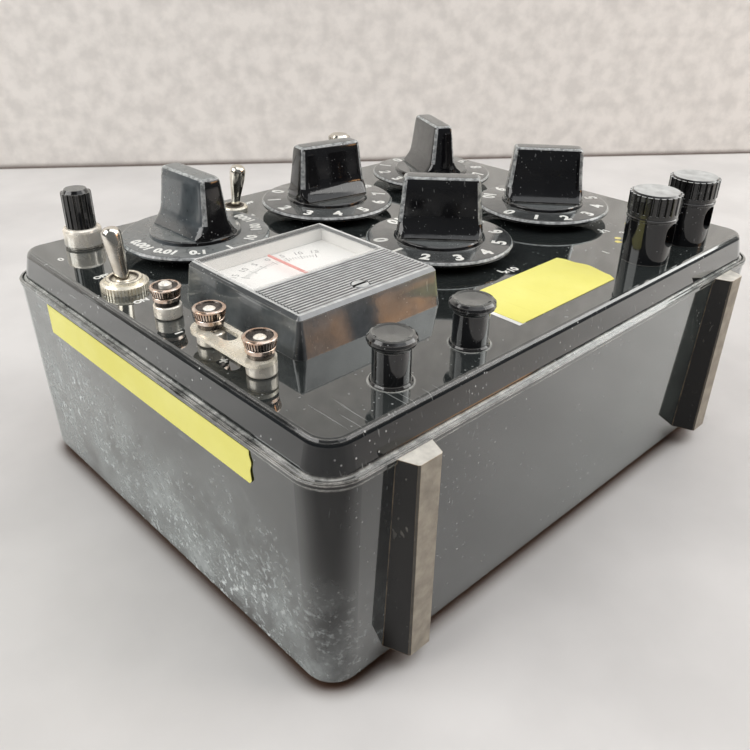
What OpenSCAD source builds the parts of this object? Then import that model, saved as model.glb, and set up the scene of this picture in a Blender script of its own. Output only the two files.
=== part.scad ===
// Portable Wheatstone bridge in a moulded case, with its lid off.
// Millimetres. +Z is up, +X is the user's right, and the user sits on the -Y side.
// The origin is the centre of the footprint, on the surface that the feet stand on.
// Places on the deck are given from the middle of the case, heights from the deck's top face.

/* [Case] */
// Width of the case over its rim
case_w = 235; // [233:1:241]
// Depth of the case over its rim, without the rails
case_d = 184; // [183:1:192]
// Height of the rim above the underside of the case
rim_h = 74.4; // [70:0.2:90]
// Radius of the case's upright corners at the rim
corner_r = 12.4; // [11.8:0.2:14]
// Thickness of the case's walls
wall_t = 4; // [3.6:0.2:4.6]
// Thickness of the case's floor
floor_t = 4; // [3.6:0.2:5]
// How far each wall draws in from the rim down to the underside
case_draft = 2.5; // [1:0.1:3]
// Height of the rubber feet
foot_h = 3; // [2.6:0.1:5]
// Diameter of a rubber foot where it meets the case
foot_d = 15; // [13:0.5:16]
// Distance from the middle of the case to each front rail
rail_x = 87; // [80:1:90]
// Width of a rail where it meets the wall
rail_root_w = 13.5; // [12:0.5:16]
// Width of a rail's front face
rail_face_w = 8.4; // [7:0.2:11]
// How far a rail stands out in front of the rim
rail_out = 5.9; // [4:0.1:8]

/* [Deck] */
// Height of the deck's top face above the rim
deck_rise = 9.7; // [9:0.1:12]
// Thickness of the deck's top plate
deck_t = 5; // [4:0.5:5.5]
// Thickness of the deck's side walls
deck_wall_t = 4; // [3.4:0.2:4.4]
// Distance from the case's outline to the foot of the deck's walls
deck_foot_in = 2.5; // [2.2:0.1:3]
// Distance from the case's outline to the top of the deck's walls
deck_top_in = 4.2; // [3.8:0.1:4.4]
// Height of the rounded edge round the deck's top
deck_edge = 1.8; // [1:0.1:2]

/* [Dials] */
// Distance between dials across the deck
dial_pitch_x = 65.3; // [62:0.1:66]
// Distance between dials from front to back
dial_pitch_y = 64.4; // [60:0.1:66]
// Place of the middle column of dials, left to right
dial_x = 3.6; // [2:0.1:5]
// Place of the front row of dials, front to back
dial_y = -17; // [-18:0.1:-15]
// Diameter of the numbered skirt
skirt_d = 55.4; // [50:0.2:57]
// Thickness of the skirt
skirt_t = 1.9; // [1.4:0.1:2.6]
// Gap between the skirt and the deck
skirt_gap = 3.4; // [3:0.1:4.5]
// Diameter of the round foot under the grip
grip_foot_d = 34; // [33:0.2:37]
// Length of the grip at its foot
grip_foot_l = 32.3; // [30:0.1:33]
// Length of the grip at its top
grip_top_l = 28; // [24:0.1:30]
// Thickness of the grip at its top
grip_top_t = 7.9; // [7.2:0.1:10]
// Height of the knob's top above the deck
knob_h = 28.3; // [26:0.1:32]
// Diameter of the switch shafts
shaft_d = 6; // [5:0.1:6.4]
// Angle of the ratio knob's grip as photographed
ratio_turn = 91; // [0:1:180]
// Angle of the thousands knob's grip as photographed
thousands_turn = -9; // [-90:1:90]
// Angle of the hundreds knob's grip as photographed
hundreds_turn = 64; // [0:1:180]
// Angle of the tens knob's grip as photographed
tens_turn = 133; // [0:1:180]
// Angle of the units knob's grip as photographed
units_turn = 131; // [0:1:180]

/* [Switch wafers] */
// Diameter of a switch wafer
wafer_d = 54; // [53:0.5:56]
// Distance from the deck's underside to the top of a wafer
wafer_drop = 15.6; // [15:0.2:17]
// Number of contact studs on a wafer
stud_count = 12; // [8:1:12]
// Radius of the ring of contact studs
stud_ring_r = 19.5; // [17:0.5:20]
// Number of resistance spools under a wafer
spool_count = 5; // [3:1:6]

/* [Buttons] */
// Place of the battery key, left to right
battery_key_x = -79.2; // [-82:0.1:-76]
// Place of the galvanometer key, left to right
galvo_key_x = -46.7; // [-50:0.1:-44]
// Place of both keys, front to back
key_y = -75; // [-77:0.1:-74]
// Diameter of a key's shaft
key_d = 10.8; // [9:0.1:11.4]
// Diameter of a key's cap
key_cap_d = 14; // [13:0.1:15.5]
// Height of a key's top above the deck
key_h = 14.6; // [13:0.1:17]
// How far a key goes down
key_travel = 3; // [1:0.1:3.2]

/* [Toggles] */
// Place of the left toggle, left to right
left_toggle_x = -101.7; // [-102.2:0.1:-100.5]
// Place of the left toggle, front to back
left_toggle_y = 28.5; // [26:0.1:31]
// Place of the rear toggle, left to right
rear_toggle_x = -27.2; // [-28:0.1:-26]
// Place of the rear toggle, front to back
rear_toggle_y = 72.2; // [71:0.1:72.4]
// Lean of a toggle's lever from upright
toggle_lean = 13; // [8:0.5:14]
// Length of a toggle's lever above its pivot
lever_l = 22; // [18:0.5:26]
// Diameter of the lever near its rounded end
lever_tip_d = 6.4; // [5:0.1:7]

/* [Small posts] */
// Place of the row of small posts, left to right
post_x = -102.2; // [-103:0.1:-101.6]
// Place of the front post, front to back
post_front_y = -48.1; // [-50:0.1:-47]
// Distance between the small posts
post_pitch = 24.1; // [22.8:0.1:24.6]
// Diameter of a post's drum
post_drum_d = 8.8; // [8:0.1:9.2]
// Diameter of a thumb nut over its knurl
thumb_nut_d = 9.8; // [9.2:0.1:10.4]
// Height above the deck of the thumb nuts that clamp the link
post_h = 11.6; // [11:0.1:12.6]
// Thickness of the shorting link
link_t = 1.2; // [0.8:0.1:1.4]

/* [Corner and rear terminals] */
// Place of the corner terminal, left to right
corner_term_x = -93.3; // [-94:0.1:-92.4]
// Place of the corner terminal, front to back
corner_term_y = 75.2; // [74:0.1:76]
// Height of the corner terminal above the deck
corner_term_h = 21.6; // [20:0.1:26]
// Diameter of the corner terminal's collar
corner_collar_d = 13.9; // [12.6:0.1:14.4]
// Place of the rear terminal, left to right
rear_term_x = 33.8; // [32:0.1:36]
// Place of the rear terminal, front to back
rear_term_y = 73.7; // [72:0.1:75]
// Height of the rear terminal above the deck
rear_term_h = 22.5; // [20:0.5:26]

/* [Large terminals] */
// Place of the left large terminal, left to right
term_left_x = 54.8; // [52:0.1:56]
// Place of the right large terminal, left to right
term_right_x = 84.1; // [82:0.1:86]
// Place of both large terminals, front to back
term_y = -74.2; // [-75.2:0.1:-73.6]
// Diameter of a large terminal's insulated body
term_body_d = 17.6; // [16:0.1:18]
// Diameter of a large terminal's fluted cap
term_cap_d = 18.5; // [17.8:0.1:20]
// Height of a large terminal above the deck
term_h = 25.6; // [24:0.1:30]
// Width of the wire window in a large terminal
window_w = 6.4; // [5:0.1:7]

/* [Galvanometer] */
// Place of the galvanometer, left to right
meter_x = -61.7; // [-62.5:0.1:-61]
// Place of the galvanometer, front to back
meter_y = -21.2; // [-22:0.1:-20]
// Width and depth of the galvanometer's housing
meter_w = 59.8; // [57:0.1:60.5]
// Height of the housing's walls above the deck
meter_wall_h = 11.4; // [11:0.1:14]
// Thickness of the galvanometer's cover
meter_cover_t = 1.8; // [1.6:0.1:2.4]
// Number of ribs across the cover's front
rib_count = 14; // [8:1:16]
// Length of the pointer from its pivot
pointer_l = 33; // [28:0.5:34]

/* [Hidden] */
$fn = 48;

// Heights above the surface that the object stands on.
floor_top_z = foot_h + floor_t;
rim_z = foot_h + rim_h;
deck_z = rim_z + deck_rise;
deck_under_z = deck_z - deck_t;
wafer_top_z = deck_under_z - wafer_drop;
wafer_t = 2.4;
stud_t = 1;

// The rails make the footprint deeper at the front, so the case's middle lies behind the origin.
case_y = rail_out / 2;

// Centres of the rounded corners, from the middle of the case.
corner_cx = case_w / 2 - corner_r;
corner_cy = case_d / 2 - corner_r;

// Small sizes of the case and the deck.
base_edge = 1.6;      // rounding under the case
bead_h = 2.2;         // height of the bead round the rim
bead_out = 0.5;       // how far the bead stands out from the wall
lip_t = 1;            // thickness of the rim's lip outside the rebate
rebate_h = 2.2;       // depth of the rebate that the deck's flange lies in
seam = 0.4;           // gap between the lip and the flange

// Tie screws: a pillar in the case and a boss under the deck meet on each.
tie_x = case_w / 2 - 13;
tie_y = case_d / 2 - 13;
tie_d = 4;
tie_hole_d = 4.6;
tie_head_d = 7.4;
tie_head_t = 1.4;
pillar_d = 11;
boss_d = 10.4;
pillar_top_z = 60;

// Battery box and hatch, on the case's floor.
battery_x = 22;
battery_y = -42;
cell_d = 26.2;
cell_l = 50;
cell_gap = 0.6;
battery_w = 3 * cell_d + 4 * cell_gap;
battery_l = cell_l + 2;
battery_wall_t = 2;
battery_h = 28;
hatch_w = battery_w + 14;
hatch_l = battery_l + 2;
hatch_t = 2;
hatch_screw_x = hatch_w / 2 - 4;

// Dial places, from the middle of the case.
ratio_at = [dial_x - dial_pitch_x, dial_y + dial_pitch_y];
thousands_at = [dial_x, dial_y + dial_pitch_y];
hundreds_at = [dial_x + dial_pitch_x, dial_y + dial_pitch_y];
tens_at = [dial_x, dial_y];
units_at = [dial_x + dial_pitch_x, dial_y];
dial_places = [ratio_at, thousands_at, hundreds_at, tens_at, units_at];

// Switch parts.
bushing_d = 9.5;
bushing_below = 8;
hex_t = 2.2;
shaft_clearance = 0.05;
pillar_ring_r = 24.4;
pillar_rod_d = 4.4;
wiper_gap = 0.3;
wiper_t = 1.2;
spool_d = 9;
spool_h = 14;
spool_ring_r = 14.8;
bar_w = 4;
bar_t = 1.2;
bar_offset = 22.2;
bar_z = wafer_top_z - wafer_t - bar_t;

// Keys.
key_places = [[battery_key_x, key_y], [galvo_key_x, key_y]];
key_clearance = 0.06;
bezel_t = 0.65;
bezel_up = 0.9;
bezel_down = 7.6;
key_below = 9.6;

// Toggles.
pivot_z = -1.4;       // pivot, from the deck's top face
pivot_pin_d = 1.6;

// Posts, front to back.
post_ys = [post_front_y, post_front_y + post_pitch, post_front_y + 2 * post_pitch];
drum_top_z = 4.2;
post_stud_d = 4;
nut_gap = 0.04;
link_w = 10.2;
link_offset = -0.9;   // the link lies a little nearer the case's edge than the posts
slot_w = 4.8;
slot_run = 9.6;       // how far the slot reaches from the middle post

// Galvanometer, heights from the deck's top face.
meter_pivot_y = -9.8;
can_d = 36;
can_wall_t = 1.6;
can_down = 27;
meter_corner_r = 3;
meter_draft = 1.7;
dial_plate_z = 7;
pointer_z = 8.5;
glass_half_w = 26.2;
glass_front_y = -4.6;
glass_back_y = 27.2;
rib_front_y = -26.2;
zero_screw_y = -22.6;
zero_screw_d = 6.1;

function wall_in(z) =
    case_draft + (bead_out - case_draft) * (z - foot_h - base_edge) / (rim_h - base_edge - bead_h);

// Outline of the case: [distance outside the corner centres, height], from the bottom up.
case_outline = [
    [corner_r - case_draft - base_edge, foot_h],
    [corner_r - case_draft - 0.8, foot_h + 0.3],
    [corner_r - case_draft - 0.25, foot_h + 0.8],
    [corner_r - case_draft, foot_h + base_edge],
    [corner_r - bead_out, rim_z - bead_h],
    [corner_r, rim_z - bead_h + 0.6],
    [corner_r, rim_z - 0.4],
    [corner_r - 0.4, rim_z]
];

// Puts its children on the deck's top face at a place measured from the middle of the case.
module on_deck(x, y) {
    translate([x, case_y + y, deck_z]) children();
}

// A block with rounded upright corners whose walls follow a profile of [out, height] points.
module profile_block(half_x, half_y, profile) {
    low = profile[0][1];
    high = profile[len(profile) - 1][1];
    back = [for (i = [len(profile) - 1:-1:0]) profile[i]];
    quarter = concat([[0, low]], profile, [[0, high]]);
    for (k = [0:3])
        translate([(k == 0 || k == 3 ? 1 : -1) * half_x, (k < 2 ? 1 : -1) * half_y, 0])
            rotate(90 * k) rotate_extrude(angle = 90) polygon(quarter);
    rotate([90, 0, 0])
        linear_extrude(2 * half_y, center = true)
            polygon(concat([for (p = profile) [half_x + p[0], p[1]]], [for (p = back) [-half_x - p[0], p[1]]]));
    rotate([90, 0, 90])
        linear_extrude(2 * half_x, center = true)
            polygon(concat([for (p = profile) [half_y + p[0], p[1]]], [for (p = back) [-half_y - p[0], p[1]]]));
}

// Outline of a fluted or knurled ring with a given number of teeth.
module toothed_outline(d, teeth, depth, crest = 0.5) {
    step = 360 / teeth;
    polygon([for (i = [0:teeth - 1], e = [0:3])
        let (a = step * (i + (e == 0 ? -crest / 2 : e == 1 ? crest / 2 : e == 2 ? 0.5 - 0.06 : 0.5 + 0.06)),
             r = d / 2 - (e < 2 ? 0 : depth))
        [r * cos(a), r * sin(a)]]);
}

module hexagon(across, h) {
    cylinder(d = across / cos(30), h = h, $fn = 6);
}

module case_body() {
    translate([0, case_y, 0]) profile_block(corner_cx, corner_cy, case_outline);
}

module case_shell() color("#1b1b1d") difference() {
    union() {
        difference() {
            case_body();
            translate([0, case_y, 0]) {
                profile_block(corner_cx, corner_cy, [
                    [corner_r - wall_t - case_draft, floor_top_z], [corner_r - wall_t, rim_z + 1]]);
                profile_block(corner_cx, corner_cy, [
                    [corner_r - lip_t, rim_z - rebate_h], [corner_r - lip_t, rim_z + 2]]);
            }
        }
        at_ties() translate([0, 0, floor_top_z - 1])
            cylinder(d = pillar_d, h = pillar_top_z - floor_top_z + 1);
    }
    at_ties() cylinder(d = tie_hole_d, h = pillar_top_z + 1);
    translate([battery_x, case_y + battery_y, 0]) {
        translate([-battery_w / 2, -battery_l / 2, 0]) cube([battery_w, battery_l, floor_top_z + 1]);
        translate([-hatch_w / 2 - 0.2, -hatch_l / 2 - 0.2, 0])
            cube([hatch_w + 0.4, hatch_l + 0.4, foot_h + hatch_t]);
        for (s = [-1, 1]) translate([s * hatch_screw_x, 0, 0]) cylinder(d = 2.6, h = floor_top_z + 1);
    }
}

module at_ties() {
    for (sx = [-1, 1], sy = [-1, 1]) translate([sx * tie_x, case_y + sy * tie_y, 0]) children();
}

module front_rails() color("#1b1b1d") difference() {
    for (s = [-1, 1]) translate([s * rail_x, -case_d / 2 + case_y, foot_h + 5.2])
        linear_extrude(rim_h - 5.6)
            polygon([
                [-rail_root_w / 2 - 1, 3], [-rail_root_w / 2, 0.5], [-rail_face_w / 2 - 0.3, -rail_out + 0.5],
                [-rail_face_w / 2 + 0.3, -rail_out], [rail_face_w / 2 - 0.3, -rail_out],
                [rail_face_w / 2 + 0.3, -rail_out + 0.5], [rail_root_w / 2, 0.5], [rail_root_w / 2 + 1, 3]]);
    case_body();
}

module rubber_feet() color("#262626") at_ties() difference() {
    cylinder(d1 = foot_d - 1.6, d2 = foot_d, h = foot_h);
    translate([0, 0, -1]) cylinder(d = tie_hole_d, h = foot_h + 2);
    translate([0, 0, -1]) cylinder(d = tie_head_d + 1, h = 2.7);
}

module tie_screws() color("#9a9a96") at_ties() difference() {
    union() {
        translate([0, 0, 1.7 - tie_head_t]) cylinder(d = tie_head_d, h = tie_head_t);
        translate([0, 0, 1]) cylinder(d = tie_d, h = deck_under_z - 6);
    }
    translate([-tie_head_d, -0.6, 0]) cube([2 * tie_head_d, 1.2, 0.9]);
}

module battery_hatch() color("#202022") translate([battery_x, case_y + battery_y, foot_h]) difference() {
    translate([-hatch_w / 2, -hatch_l / 2, 0]) cube([hatch_w, hatch_l, hatch_t]);
    for (s = [-1, 1]) translate([s * hatch_screw_x, 0, -1]) {
        cylinder(d = 2.6, h = hatch_t + 2);
        cylinder(d = 5.2, h = 2);
    }
}

module hatch_screws() color("#9a9a96")
    for (s = [-1, 1]) translate([battery_x + s * hatch_screw_x, case_y + battery_y, foot_h + 0.1])
        difference() {
            union() {
                cylinder(d = 4.8, h = 0.9);
                cylinder(d = 2.5, h = floor_t - 0.3);
            }
            translate([-3, -0.4, -1]) cube([6, 0.8, 1.5]);
        }

// Label tape on the left wall: a slab that follows the wall, cut to the tape's outline.
side_label_t = 0.25;
module side_label() color("#f0e25a") {
    low = rim_z - 13.4;
    high = rim_z - 2.3;
    front = case_y - 62.6;
    rear = case_y + 59.6;
    clip = 4.4;
    x_low = -case_w / 2 + wall_in(low);
    x_high = -case_w / 2 + wall_in(high);
    intersection() {
        translate([0, rear + 1, 0]) rotate([90, 0, 0]) linear_extrude(rear - front + 2)
            polygon([[x_low - side_label_t, low], [x_low, low], [x_high, high], [x_high - side_label_t, high]]);
        translate([-case_w / 2 - 5, 0, 0]) rotate([90, 0, 90]) linear_extrude(12)
            polygon([[front, low], [rear, low], [rear, high], [front + clip, high], [front, high - clip]]);
    }
}

module deck() color("#1c1c1e") difference() {
    union() {
        difference() {
            translate([0, case_y, 0]) {
                profile_block(corner_cx, corner_cy, [
                    [corner_r - lip_t - seam, rim_z - rebate_h], [corner_r - lip_t - seam, rim_z - 0.5],
                    [corner_r - lip_t - seam - 0.4, rim_z - 0.1]]);
                profile_block(corner_cx, corner_cy, [
                    [corner_r - deck_foot_in, rim_z - 1], [corner_r - deck_foot_in, rim_z],
                    [corner_r - deck_top_in, deck_z - deck_edge],
                    [corner_r - deck_top_in - 0.25 * deck_edge, deck_z - 0.45 * deck_edge],
                    [corner_r - deck_top_in - 0.6 * deck_edge, deck_z - 0.12 * deck_edge],
                    [corner_r - deck_top_in - deck_edge, deck_z]]);
            }
            translate([0, case_y, 0])
                profile_block(corner_cx, corner_cy, [
                    [corner_r - deck_foot_in - deck_wall_t, rim_z - rebate_h - 1],
                    [corner_r - deck_top_in - deck_wall_t, deck_under_z]]);
        }
        at_ties() translate([0, 0, pillar_top_z]) cylinder(d = boss_d, h = deck_z - 1 - pillar_top_z);
    }
    at_ties() translate([0, 0, pillar_top_z - 1]) cylinder(d = tie_d, h = deck_under_z - 5 - pillar_top_z + 1);
    for (p = dial_places) deck_hole(p, bushing_d + 0.2);
    for (p = key_places) deck_hole(p, key_d + 2 * (key_clearance + bezel_t) + 0.1);
    deck_hole([left_toggle_x, left_toggle_y], 12.2);
    deck_hole([rear_toggle_x, rear_toggle_y], 8.4);
    for (y = post_ys) deck_hole([post_x, y], 5.2);
    deck_hole([corner_term_x, corner_term_y], 6.2);
    deck_hole([rear_term_x, rear_term_y], 5.2);
    for (x = [term_left_x, term_right_x]) deck_hole([x, term_y], 6.2);
    deck_hole([meter_x, meter_y + meter_pivot_y], can_d + 0.6);
}

module deck_hole(place, d) {
    on_deck(place[0], place[1]) translate([0, 0, -deck_t - 1]) cylinder(d = d, h = deck_t + 2);
}

module deck_label() color("#f0e25a")
    on_deck(0, 0) translate([-24.6, -77.9, 0]) cube([56.8, 25.2, 0.25]);

module switch_bushings() color("#b7b2a2")
    for (p = dial_places) on_deck(p[0], p[1]) difference() {
        union() {
            hexagon(14, hex_t);
            translate([0, 0, -deck_t - bushing_below]) cylinder(d = bushing_d, h = deck_t + bushing_below + 1);
        }
        translate([0, 0, -40]) cylinder(d = shaft_d + 2 * shaft_clearance, h = 60);
    }

// One clamping nut under the deck.
module deck_nut(x, y, across, hole_d) {
    on_deck(x, y) translate([0, 0, -deck_t - 2.4]) rotate(30) difference() {
        hexagon(across, 2.4);
        translate([0, 0, -1]) cylinder(d = hole_d, h = 5);
    }
}

module deck_nuts() color("#b7b2a2") {
    for (p = dial_places) deck_nut(p[0], p[1], 14, bushing_d);
    for (y = post_ys) deck_nut(post_x, y, 8, 4.6);
    deck_nut(corner_term_x, corner_term_y, 9, 5.6);
    deck_nut(rear_term_x, rear_term_y, 8, 4.6);
    for (x = [term_left_x, term_right_x]) deck_nut(x, term_y, 10, 5.6);
}

module wafer_pillars() color("#b7b2a2")
    for (p = dial_places, a = [30, 150, 270]) translate([p[0], case_y + p[1], 0])
        rotate(a) translate([pillar_ring_r, 0, 0]) {
            translate([0, 0, wafer_top_z]) cylinder(d = pillar_rod_d, h = wafer_drop);
            translate([0, 0, wafer_top_z - wafer_t]) cylinder(d = 2.6, h = wafer_t + 1);
            translate([0, 0, wafer_top_z - wafer_t - 1.2]) cylinder(d = 4.4, h = 1.2);
        }

module switch_wafers() color("#6b4426")
    for (p = dial_places) translate([p[0], case_y + p[1], wafer_top_z - wafer_t]) difference() {
        cylinder(d = wafer_d, h = wafer_t);
        translate([0, 0, -1]) cylinder(d = shaft_d + 0.8, h = wafer_t + 2);
        for (a = [30, 150, 270]) rotate(a) translate([pillar_ring_r, 0, -1]) cylinder(d = 2.6, h = wafer_t + 2);
    }

module contact_studs() color("#c9a24a")
    for (p = dial_places, i = [0:stud_count - 1]) translate([p[0], case_y + p[1], wafer_top_z])
        rotate(i * 360 / stud_count) translate([stud_ring_r, 0, 0]) cylinder(d = 3.4, h = stud_t);

module resistance_spools() color("#8a5a34")
    for (p = dial_places, i = [0:spool_count - 1])
        translate([p[0], case_y + p[1], wafer_top_z - wafer_t - spool_h])
            rotate(i * 360 / spool_count) translate([spool_ring_r, 0, 0])
                rotate_extrude() polygon([
                    [0, 0], [spool_d / 2, 0], [spool_d / 2, 1.2], [spool_d / 2 - 0.7, 1.2],
                    [spool_d / 2 - 0.7, spool_h - 1.2], [spool_d / 2, spool_h - 1.2],
                    [spool_d / 2, spool_h], [0, spool_h]]);

module bus_bars() color("#c9a24a") {
    back_y = case_y + ratio_at[1] + bar_offset;
    front_y = case_y + tens_at[1] + bar_offset;
    cross_x = dial_x + dial_pitch_x / 2;
    translate([ratio_at[0] - 10, back_y - bar_w / 2, bar_z])
        cube([2 * dial_pitch_x + 20, bar_w, bar_t]);
    translate([tens_at[0] - 10, front_y - bar_w / 2, bar_z]) cube([dial_pitch_x + 20, bar_w, bar_t]);
    translate([cross_x - bar_w / 2, front_y, bar_z]) cube([bar_w, back_y - front_y, bar_t]);
}

// Half the grip's thickness at a height above its foot: a slow taper with a flare at the bottom.
grip_z = skirt_gap + skirt_t + 1.6;
grip_h = knob_h - grip_z;
grip_flare = 2.8;
grip_taper = 2.1;
function grip_half_t(h) = grip_top_t / 2 + grip_taper * (1 - h / grip_h) + grip_flare * exp(-h / 2.2);

// A dial knob at a place on the deck: skirt, round foot and bar grip in one moulding.
module knob(place, turn) {
    heights = [0, 0.7, 1.5, 2.4, 3.6, 5.2, 7.5, 11, grip_h - 1.2];
    side = [for (h = heights) [grip_half_t(h), h]];
    edge = grip_half_t(grip_h - 1.2);
    crown = [[edge - 0.25, grip_h - 0.6], [edge - 0.8, grip_h - 0.15], [edge - 1.6, grip_h]];
    half = concat(side, crown);
    back = [for (i = [len(half) - 1:-1:0]) [-half[i][0], half[i][1]]];
    color("#161618") on_deck(place[0], place[1]) rotate(turn) difference() {
        union() {
            translate([0, 0, skirt_gap]) rotate_extrude() polygon([
                [0, 0], [skirt_d / 2 - 0.3, 0], [skirt_d / 2, 0.3], [skirt_d / 2, skirt_t - 0.9],
                [skirt_d / 2 - 1.1, skirt_t], [grip_foot_d / 2, skirt_t],
                [grip_foot_d / 2, skirt_t + 0.9], [grip_foot_d / 2 - 0.7, skirt_t + 1.6],
                [0, skirt_t + 1.6]]);
            translate([0, 0, grip_z]) intersection() {
                rotate([90, 0, 90]) linear_extrude(2 * grip_foot_l, center = true) polygon(concat(half, back));
                rotate_extrude() polygon([
                    [0, -1], [grip_foot_l / 2, -1], [grip_foot_l / 2, 0],
                    [grip_foot_l / 2 - 0.7, 3],
                    [grip_top_l / 2 + 0.1, grip_h - 1.2], [grip_top_l / 2 - 0.25, grip_h - 0.5],
                    [grip_top_l / 2 - 1.1, grip_h], [0, grip_h]]);
            }
        }
        translate([0, 0, -1]) cylinder(d = shaft_d, h = knob_h - 6);
    }
}

// A switch shaft with the wiper arm that sweeps the ring of contact studs.
module switch_shaft(place, turn) {
    arm_z = wafer_top_z + stud_t + wiper_gap;
    color("#b7b2a2") translate([place[0], case_y + place[1], 0]) rotate(turn) {
        translate([0, 0, wafer_top_z - 5]) cylinder(d = shaft_d, h = deck_z + knob_h - 7 - wafer_top_z + 5);
        translate([0, 0, arm_z]) cylinder(d = 11, h = 3.4);
        translate([0, -2.2, arm_z]) cube([stud_ring_r + 1.6, 4.4, wiper_t]);
    }
}

// A key's plunger: dished mushroom cap, shaft, and a collar that stops it under the bezel.
module key_plunger(x) {
    r = key_cap_d / 2;
    color("#141416") on_deck(x, key_y) rotate_extrude() polygon([
        [0, -key_below], [key_d / 2 + 1.2, -key_below], [key_d / 2 + 1.2, -bezel_down - 0.3],
        [key_d / 2, -bezel_down - 0.3], [key_d / 2, key_h - 3.9], [r - 1.1, key_h - 3.3],
        [r - 0.3, key_h - 2.6], [r, key_h - 1.8], [r - 0.2, key_h - 0.9],
        [r - 0.9, key_h - 0.2], [r - 1.5, key_h], [r - 2.3, key_h - 0.3], [0, key_h - 0.7]]);
}

module key_bezels() color("#1d1d20")
    for (p = key_places) on_deck(p[0], p[1]) rotate_extrude() polygon([
        [key_d / 2 + key_clearance, -bezel_down], [key_d / 2 + key_clearance + bezel_t, -bezel_down],
        [key_d / 2 + key_clearance + bezel_t, bezel_up - 0.4],
        [key_d / 2 + key_clearance + 0.3, bezel_up], [key_d / 2 + key_clearance, bezel_up]]);

// Contact springs: two strips on a block, just below where the pressed plunger stops.
module key_contacts() color("#c9a24a")
    for (p = key_places) on_deck(p[0], p[1]) {
        leaf_z = -key_below - key_travel - 1;
        translate([-4, 8.4, leaf_z - 2.4]) cube([8, 5, -leaf_z + 2.4 - deck_t]);
        translate([-3.5, -4, leaf_z]) cube([7, 13, 0.6]);
        translate([-3.5, -4, leaf_z - 2.4]) cube([7, 13, 0.6]);
    }

// A toggle switch's body under the deck and its bush through the deck.
module toggle_body(x, y, bush_d, bore_d, up, across) {
    color("#33302c") on_deck(x, y) difference() {
        union() {
            translate([-across / 2, -11, -deck_t - 16]) cube([across, 22, 16]);
            translate([0, 0, -deck_t - 1]) cylinder(d = bush_d, h = deck_t + 1 + up);
        }
        translate([0, 0, -9]) cylinder(d = bore_d, h = 20);
        translate([-3.6, -6.4, -16]) cube([7.2, 12.8, 9]);
        translate([0, 0, pivot_z]) rotate([0, 90, 0])
            cylinder(d = pivot_pin_d + 2 * shaft_clearance, h = bush_d, center = true);
    }
}

module toggle_bodies() {
    toggle_body(left_toggle_x, left_toggle_y, 12, 8.8, 3.9, 13);
    toggle_body(rear_toggle_x, rear_toggle_y, 8.2, 6.6, 2.4, 12);
}

module toggle_dress_ring() color("#e4dcc8")
    on_deck(left_toggle_x, left_toggle_y) difference() {
        union() {
            linear_extrude(2.3) toothed_outline(15.8, 44, 0.35);
            translate([0, 0, 2.3]) cylinder(d1 = 15.2, d2 = 14, h = 0.7);
        }
        translate([0, 0, -1]) cylinder(d = 12, h = 6);
    }

module toggle_nut() color("#d8c9a0")
    on_deck(rear_toggle_x, rear_toggle_y) difference() {
        union() {
            cylinder(d = 11.2, h = 1.5);
            translate([0, 0, 1.5]) cylinder(d1 = 11.2, d2 = 10.2, h = 0.6);
        }
        translate([0, 0, -1]) cylinder(d = 8.2, h = 5);
    }

// A bat lever with its ball, pivot pin and tail, leaning forwards or back from upright.
module toggle_lever(x, y, ball_d, lean) {
    tip_r = lever_tip_d / 2;
    color("#e2ded4") on_deck(x, y) translate([0, 0, pivot_z]) rotate([lean, 0, 0]) {
        sphere(d = ball_d);
        rotate([0, 90, 0]) cylinder(d = pivot_pin_d, h = ball_d + 2.4, center = true);
        translate([0, 0, -5.4]) cylinder(d = 2.6, h = 5.4);
        rotate_extrude() polygon([
            [0, 0], [1.5, 0], [1.6, 6], [tip_r - 0.5, lever_l * 0.72], [tip_r - 0.05, lever_l - tip_r + 0.6],
            [tip_r - 0.2, lever_l - 1.6], [tip_r - 1, lever_l - 0.6], [tip_r - 2.1, lever_l - 0.05],
            [0, lever_l]]);
    }
}

module post_bases() color("#d8d2c2")
    for (y = post_ys) on_deck(post_x, y)
        rotate_extrude() polygon([
            [0, -12], [2.3, -12], [2.3, -deck_t], [2.55, -deck_t], [2.55, 0],
            [post_drum_d / 2 - 0.5, 0], [post_drum_d / 2 - 0.15, 0.2], [post_drum_d / 2, 0.6],
            [post_drum_d / 2, drum_top_z - 0.3], [post_drum_d / 2 - 0.3, drum_top_z],
            [post_stud_d / 2, drum_top_z], [post_stud_d / 2, post_h - 0.9],
            [post_stud_d / 2 - 0.7, post_h - 0.4], [0, post_h - 0.2]]);

// A thumb nut: neck, plain flange, knurled band and dished top. It rests at a height above the deck.
module thumb_nut(y, rest_z) {
    nut_h = post_h - drum_top_z - link_t - nut_gap;
    flange_z = 0.9;
    knurl_z = 2.6;
    bead_t = 0.6;
    color("#d8d2c2") on_deck(post_x, y) translate([0, 0, rest_z + nut_gap]) difference() {
        union() {
            cylinder(d = 7.4, h = knurl_z);
            translate([0, 0, flange_z]) cylinder(d = thumb_nut_d - 1.1, h = knurl_z - flange_z + 1);
            translate([0, 0, knurl_z]) linear_extrude(nut_h - bead_t - knurl_z)
                toothed_outline(thumb_nut_d, 36, 0.28);
            translate([0, 0, nut_h - bead_t]) cylinder(d1 = thumb_nut_d - 0.4, d2 = thumb_nut_d - 1.4, h = bead_t);
        }
        translate([0, 0, -1]) cylinder(d = post_stud_d + 2 * nut_gap, h = nut_h + 2);
        translate([0, 0, nut_h - 0.7]) cylinder(d1 = 5.6, d2 = 7.4, h = 0.8);
    }
}

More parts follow.
